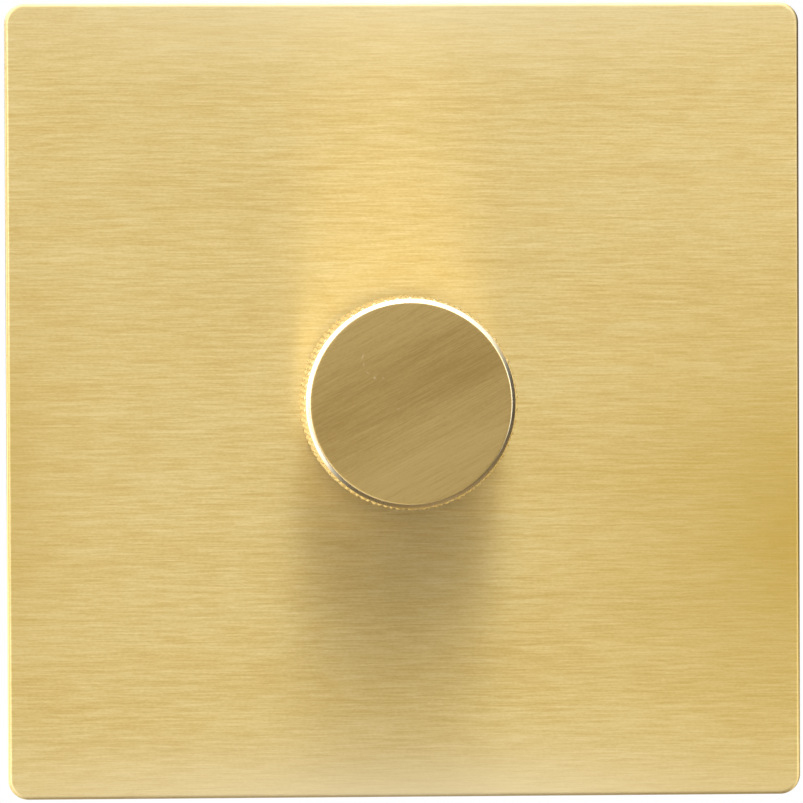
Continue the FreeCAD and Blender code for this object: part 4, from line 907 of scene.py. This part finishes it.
@dataclass(frozen=True)
class ScrewPlace:
    """Where a screw sits: the middle of its head's seat, its turn, and 1 where its head faces the wall."""

    across_mm: float
    seat_mm: float
    up_mm: float
    turn_deg: float
    facing: float = 1.0

    def shell(self, points: np.ndarray) -> Shell:
        """Turns points round the screw's axis, points its head the right way and moves it to its place.

        Args:
            points: a grid in millimetres, with the seat at y 0 and the head towards +Y.

        Returns:
            The closed shell in metres.
        """
        cosine, sine = math.cos(math.radians(self.turn_deg)), math.sin(math.radians(self.turn_deg))
        x, y, z = points[..., 0], points[..., 1], points[..., 2]
        moved = np.stack((self.across_mm + x * cosine - z * sine, self.seat_mm + y * self.facing,
                          self.up_mm + x * sine + z * cosine), axis=-1)
        return grid_shell(moved * MM, poles=True)


@dataclass(frozen=True)
class SlottedScrew:
    """A screw along Y with a domed, slotted head and a rolled thread. Sizes in millimetres.

    The head, shank and neck are radii, and the reach is what lies below the head's seat. The dome and
    the rim's drop are shares of the head's height, and the shank starts a little way up in the head.
    """

    head: float
    height: float
    shank: float
    reach: float
    neck: float = 0.0
    neck_length: float = 0.0
    pitch: float = 0.7
    slot: float = 0.9
    slot_depth: float = 0.7
    dome: float = 0.14
    rim_start: float = 0.82
    rim_drop: float = 0.3
    shank_start: float = 0.2
    row_gap: float = 0.01
    thread_steps: int = 7
    round_steps: int = 24

    def head_points(self) -> np.ndarray:
        """The head, as loops across the slot.

        Each loop lies in one plane along the slot: along the top from rim to rim, and back along the
        seat. The top sinks with the square of the distance from the middle, and faster near the rim;
        in the slot it lies at the slot's floor.

        Returns:
            The grid of points, with the seat at y 0.
        """
        # The outermost loop stays just inside the rim, where it still has a length.
        half, edge = self.slot / 2, self.head * 0.999
        outer = half + (edge - half) * np.sin(np.linspace(0.0, 1.0, 9) * TURN / 4)
        lines = np.concatenate((-outer[::-1], (-half, half), outer))
        in_slot = np.zeros(len(lines), dtype=bool)
        in_slot[len(outer):len(outer) + 2] = True
        chord = np.sqrt(self.head ** 2 - lines ** 2)
        reach = chord[:, None] * np.sin(np.linspace(-1.0, 1.0, 25) * TURN / 4)
        share = np.hypot(lines[:, None], reach) / self.head
        past_rim = np.clip((share - self.rim_start) / (1.0 - self.rim_start), 0.0, 1.0)
        top = self.height * (1.0 - self.dome * share ** 2 - self.rim_drop * past_rim ** 2)
        top = np.where(in_slot[:, None], self.height - self.slot_depth, top)
        lengthwise = np.concatenate((reach, reach[:, ::-1]), axis=1)
        level = np.concatenate((top, np.zeros_like(top)), axis=1)
        return np.stack((lengthwise, level, lines[:, None] * np.ones_like(level)), axis=-1)

    def shank_points(self) -> np.ndarray:
        """The shank: a plain neck, then a thread whose radius is a triangle wave of the place less the turn.

        The thread is 0.6 of its pitch deep, and fades out over its last one and a half turns.

        Returns:
            The grid of points, with the seat at y 0.
        """
        angles = even_angles(self.round_steps)
        plain = np.linspace(-self.shank_start, self.neck_length, 4)
        cut = np.arange(self.neck_length, self.reach - 2 * self.row_gap, self.pitch / self.thread_steps)
        down = np.concatenate((plain, cut + self.row_gap, [self.reach]))[:, None]
        phase = down / self.pitch - angles / TURN
        wave = 2 * np.abs(phase - np.round(phase))
        depth = 0.6 * self.pitch
        thread = self.shank - depth * (1 - wave)
        taper = np.clip((self.reach - down) / (1.5 * self.pitch), 0.0, 1.0)
        thread = np.minimum(thread, self.shank - depth + depth * taper)
        radius = np.where(down <= self.neck_length, self.neck or self.shank - depth, thread)
        return turned_points(radius, -down[:, 0], angles)

    def shells(self, place: ScrewPlace) -> list[Shell]:
        """The head and the shank of one screw at its place."""
        return [place.shell(self.head_points()), place.shell(self.shank_points())]


@dataclass
class Screws:
    """Every screw of the switch, a node's screws as one piece.

    The kinds and the places, in millimetres, are those of the solids.
    """

    fixing: SlottedScrew = SlottedScrew(head=3.3, height=1.8, shank=1.75, reach=25.0,
                                        neck=1.5, neck_length=2.2)
    case: SlottedScrew = SlottedScrew(head=2.3, height=1.4, shank=1.25, reach=24.4)
    tab: SlottedScrew = SlottedScrew(head=2.3, height=1.6, shank=1.4, reach=3.1)
    terminal: SlottedScrew = SlottedScrew(head=2.6, height=1.4, shank=1.5, reach=1.6)
    fixing_pitch: float = 60.3
    yoke_seat: float = -2.2
    post: float = 21.0
    case_seat: float = 23.4
    tab_across: float = 12.5
    tab_up: float = 14.9
    tab_seat: float = 2.1
    terminal_pitch: float = 7.6
    terminal_up: float = -20.8
    terminal_seat: float = 23.6
    earth: tuple[float, float, float] = (36.0, 5.7, -8.4)

    def sets(self) -> dict[str, tuple[SlottedScrew, list[ScrewPlace]]]:
        """The kind and the places of each node's screws, with their slots left as the driver left them.

        Returns:
            For each node its kind of screw and where the screws sit.
        """
        posts = ((-1, -1), (-1, 1), (1, -1), (1, 1))
        fixing = [ScrewPlace(side * self.fixing_pitch / 2, self.yoke_seat, 0.0, turn, facing=-1.0)
                  for side, turn in zip((-1, 1), (4.0, 171.0))]
        case = [ScrewPlace(x * self.post, self.case_seat, z * self.post, turn)
                for (x, z), turn in zip(posts, (22.0, 75.0, 131.0, 48.0))]
        tab = [ScrewPlace(side * self.tab_across, self.tab_seat, self.tab_up, turn)
               for side, turn in zip((-1, 1), (95.0, 33.0))]
        terminal = [ScrewPlace(step * self.terminal_pitch, self.terminal_seat, self.terminal_up, turn)
                    for step, turn in zip((-1, 0, 1), (62.0, 12.0, 118.0))]
        terminal.append(ScrewPlace(*self.earth, 87.0))
        return {"fixing_screws": (self.fixing, fixing), "case_screws": (self.case, case),
                "tab_screws": (self.tab, tab), "terminal_screws": (self.terminal, terminal)}

    def build(self, material: bpy.types.Material) -> None:
        """Makes the screws.

        Args:
            material: their finish.
        """
        for node, (screw, places) in self.sets().items():
            shells = [shell for place in places for shell in screw.shells(place)]
            new_piece(f"threaded_{node}", shell_mesh(node, shells), material, "base", node)


@dataclass
class Carrier:
    """What holds the plate and the module to the wall: the carrier, the yoke, the nut and its washer."""

    finishes: Mapping[Finish, tuple[str, ...]] = field(default_factory=lambda: {
        BLACK_MOULDING: ("clip_frame",),
        ZINC_STEEL: ("mounting_yoke", "bush_nut", "washer"),
    })

    def build(self) -> None:
        """Gives each node of the carrier its finish."""
        dress(self.finishes)


@dataclass
class Module:
    """The dimmer module: its case, rotary control, push switch, circuit and terminals."""

    finishes: Mapping[Finish, tuple[str, ...]] = field(default_factory=lambda: {
        BLACK_MOULDING: ("rear_housing", "knob_insert"),
        ALUMINIUM: ("heat_sink",),
        ZINC_STEEL: ("control_case", "spindle"),
        TURNED_BRASS: ("threaded_bush", "terminal_line", "terminal_load", "terminal_two_way",
                       "terminal_earth"),
        BRONZE: ("wiper_contact", "switch_contacts"),
        WHITE_MOULDING: ("wiper_rotor", "switch_plunger"),
        GREY_MOULDING: ("control_back", "terminal_block"),
        SPRING_STEEL: ("retaining_clip", "return_spring"),
        WAFER: ("track_wafer",),
        CARBON_INK: ("resistive_track",),
        BOARD: ("circuit_board",),
        FERRITE: ("choke_core",),
        COPPER: ("choke_winding",),
        FILM_CASE: ("film_capacitor",),
        CAN_SLEEVE: ("electrolytic_capacitor",),
        TRANSISTOR_EPOXY: ("power_transistor_left", "power_transistor_right"),
        FUSE_METAL: ("fuse",),
    })

    def build(self) -> None:
        """Gives each node of the module its finish."""
        dress(self.finishes)


@dataclass(frozen=True)
class LampRing:
    """Soft lamps of the room that stand at one angle from the plate's front, round the switch.

    A lamp's light falls off with the cosine of the angle from its middle, as the exponential of the
    cosine less 1 over the square of its spread. The brightness is given for each lamp's angle round
    the switch, in degrees from the right over the top.
    """

    from_front_deg: float
    spread_deg: float
    tint: tuple[float, float, float]
    brightness: Mapping[float, float]

    def add_to(self, tree: bpy.types.NodeTree, direction: bpy.types.NodeSocket,
               total: bpy.types.NodeSocket | None) -> bpy.types.NodeSocket:
        """Adds the ring's light to what there is.

        Args:
            tree: the world's node tree.
            direction: the socket with the direction looked in.
            total: the light of the rings before it.

        Returns:
            The socket with the sum.
        """
        tilt, narrow = math.radians(self.from_front_deg), 1.0 / math.radians(self.spread_deg) ** 2
        for clock_deg, strength in self.brightness.items():
            clock = math.radians(clock_deg)
            middle = (math.sin(tilt) * math.cos(clock), -math.cos(tilt), math.sin(tilt) * math.sin(clock))
            cosine = add(tree, "ShaderNodeVectorMath", {"operation": "DOT_PRODUCT"},
                         {0: direction, 1: middle})
            power = add(tree, "ShaderNodeMath", {"operation": "MULTIPLY_ADD"},
                        {0: cosine.outputs["Value"], 1: narrow, 2: -narrow})
            share = add(tree, "ShaderNodeMath", {"operation": "EXPONENT"}, {0: power.outputs["Value"]})
            lit = add(tree, "ShaderNodeVectorMath", {"operation": "SCALE"},
                      {0: tuple(strength * part for part in self.tint), "Scale": share.outputs["Value"]})
            if total is None:
                total = lit.outputs["Vector"]
            else:
                total = add(tree, "ShaderNodeVectorMath", {"operation": "ADD"},
                            {0: total, 1: lit.outputs["Vector"]}).outputs["Vector"]
        return total


# Tints of the lamps, with green as their measure.
WHITE = (1.0, 1.0, 1.0)
WARM = (1.06, 1.0, 0.95)
COOL = (0.95, 1.0, 1.08)
GOLDEN = (1.33, 1.0, 0.56)
# The room that the metal mirrors: soft lamps all round and above, few below, and a dark gap ahead.
ROOM = (
    LampRing(9.0, 5.0, WARM, {45: 1.3}),
    LampRing(18.0, 7.0, WHITE, {180: 2.6}),
    LampRing(33.0, 10.0, WHITE, {45: 2.5, 90: 0.25, 135: 2.0, 180: 2.6, 225: 2.6}),
    LampRing(33.0, 10.0, WARM, {270: 1.3}),
    LampRing(52.0, 11.0, WHITE, {0: 2.6, 30: 2.6, 60: 2.6, 90: 2.6, 150: 2.6, 180: 2.6}),
    LampRing(70.0, 10.0, WHITE, {75: 2.6, 100: 2.5}),
    LampRing(88.0, 10.0, COOL, {40: 1.6, 60: 1.2, 80: 1.4, 100: 1.3, 120: 2.4, 140: 1.8, 160: 1.2,
                                207: 1.5}),
    # Lamps past the plate's own plane light only what stands proud of it and what faces the wall.
    LampRing(105.0, 12.0, WHITE, {80: 3.0, 110: 4.2, 140: 4.2, 170: 4.2}),
    LampRing(105.0, 12.0, WARM, {200: 2.0}),
    LampRing(105.0, 32.0, GOLDEN, {290: 0.27}),
    LampRing(180.0, 27.0, WHITE, {0: 0.9}),
)


@dataclass
class Studio:
    """Camera, surroundings and floor.

    The scale of the photograph, in pixels a millimetre, holds at the camera's distance from the plate.
    The tilt, swing and roll turn the plate before the camera, and the shift is where its middle then
    lies: right of the camera's axis, away from it and above it. Lengths are in metres where the name
    gives no other unit.
    """

    distance: float = 0.700
    pixels_per_mm: float = 9.239
    frame_pixels: float = 803.0
    sensor_mm: float = 36.0
    tilt_deg: float = 1.27
    swing_deg: float = 2.75
    roll_deg: float = -0.23
    shift_mm: tuple[float, float, float] = (0.27, 700.0, 0.11)
    floor_level: float = -0.16
    floor_radius: float = 0.7
    floor_corners: int = 64
    room: tuple[LampRing, ...] = ROOM

    def camera(self) -> bpy.types.Object:
        """Makes the camera from the fit to the plate's corners and the knob's rings.

        The fit turns the plate by roll about Y, then swing about Z, then tilt about X, and moves it; the
        camera looks along +Y from the origin of that space, so its own place is the fit's inverse.

        Returns:
            The camera.
        """
        turn = (Matrix.Rotation(math.radians(self.tilt_deg), 3, "X")
                @ Matrix.Rotation(math.radians(self.swing_deg), 3, "Z")
                @ Matrix.Rotation(math.radians(self.roll_deg), 3, "Y"))
        back = turn.transposed()
        plate_front = Vector((0.0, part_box("faceplate")[0][1], 0.0))
        place = back @ (-Vector(self.shift_mm) * MM) + plate_front
        data = bpy.data.cameras.new("camera")
        data.sensor_width = self.sensor_mm
        data.lens = self.pixels_per_mm * self.distance / MM / self.frame_pixels * self.sensor_mm
        data.clip_start, data.clip_end = 0.01, 10.0
        camera = bpy.data.objects.new("camera", data)
        bpy.context.scene.collection.objects.link(camera)
        axes = Matrix((back.col[0], back.col[2], -back.col[1])).transposed()
        camera.matrix_world = Matrix.Translation(place) @ axes.to_4x4()
        bpy.context.scene.camera = camera
        return camera

    def world(self) -> None:
        """Surroundings: white to the camera, and to the metal a room of soft lamps."""
        world = bpy.data.worlds.new("studio")
        bpy.context.scene.world = world
        world.use_nodes = True
        tree = world.node_tree
        tree.nodes.clear()
        direction = add(tree, "ShaderNodeTexCoord").outputs["Generated"]
        total = None
        for ring in self.room:
            total = ring.add_to(tree, direction, total)
        lit = add(tree, "ShaderNodeBackground", None, {"Color": total, "Strength": 1.0})
        white = add(tree, "ShaderNodeBackground", None, {"Color": linear("FFFFFF"), "Strength": 1.0})
        path = add(tree, "ShaderNodeLightPath")
        mixed = add(tree, "ShaderNodeMixShader", None,
                    {0: path.outputs["Is Camera Ray"], 1: lit.outputs[0], 2: white.outputs[0]})
        add(tree, "ShaderNodeOutputWorld", None, {"Surface": mixed.outputs[0]})

    def floor(self) -> bpy.types.Object:
        """Pale round floor well below the switch, clear from beneath.

        Returns:
            The floor.
        """
        angles = even_angles(self.floor_corners)
        edge = turned_points(np.full((1, self.floor_corners), self.floor_radius), np.zeros(1), angles)[0]
        points = np.column_stack((edge[:, 0], edge[:, 2], np.full(self.floor_corners, self.floor_level)))
        mesh = bpy.data.meshes.new("floor")
        mesh.from_pydata(points.tolist(), [], [list(range(self.floor_corners))])
        floor = bpy.data.objects.new("floor", mesh)
        bpy.context.scene.collection.objects.link(floor)
        material = blank_material("pale painted board")
        tree = material.node_tree
        speck = add(tree, "ShaderNodeTexNoise", None, {"Scale": 90.0, "Detail": 3.0})
        stops = ((0.3, linear("F2F2F1")), (0.7, linear("F7F7F6")))
        colour = ramp(add(tree, "ShaderNodeValToRGB", None, {"Fac": speck.outputs["Fac"]}), stops)
        board = add(tree, "ShaderNodeBsdfDiffuse", None, {"Color": colour.outputs["Color"]})
        clear = add(tree, "ShaderNodeBsdfTransparent")
        seen = add(tree, "ShaderNodeLightPath").outputs["Is Camera Ray"]
        side = add(tree, "ShaderNodeNewGeometry").outputs["Backfacing"]
        shown = add(tree, "ShaderNodeMath", {"operation": "SUBTRACT", "use_clamp": True},
                    {0: seen, 1: side})
        mixed = add(tree, "ShaderNodeMixShader", None,
                    {0: shown.outputs["Value"], 1: clear.outputs[0], 2: board.outputs[0]})
        add(tree, "ShaderNodeOutputMaterial", None, {"Surface": mixed.outputs[0]})
        mesh.materials.append(material)
        return floor

    def build(self) -> None:
        """Makes the whole studio."""
        self.camera()
        self.world()
        self.floor()
        bpy.context.scene.view_settings.view_transform = "Standard"
        LOG.info("studio: %d lamps", sum(len(ring.brightness) for ring in self.room))


def main() -> None:
    """Builds each sub-assembly in order."""
    logging.basicConfig(level=logging.INFO, format="%(name)s %(message)s")
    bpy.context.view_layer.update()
    Studio().build()
    WallPlate().build(PLATE_BRASS.build())
    Knob().build(KNOB_BRASS.build(), KNURL_PAINTED_HIGHLIGHT_BRASS.build())
    Screws().build(ZINC_STEEL.build())
    Carrier().build()
    Module().build()


if __name__ == "__main__":
    main()
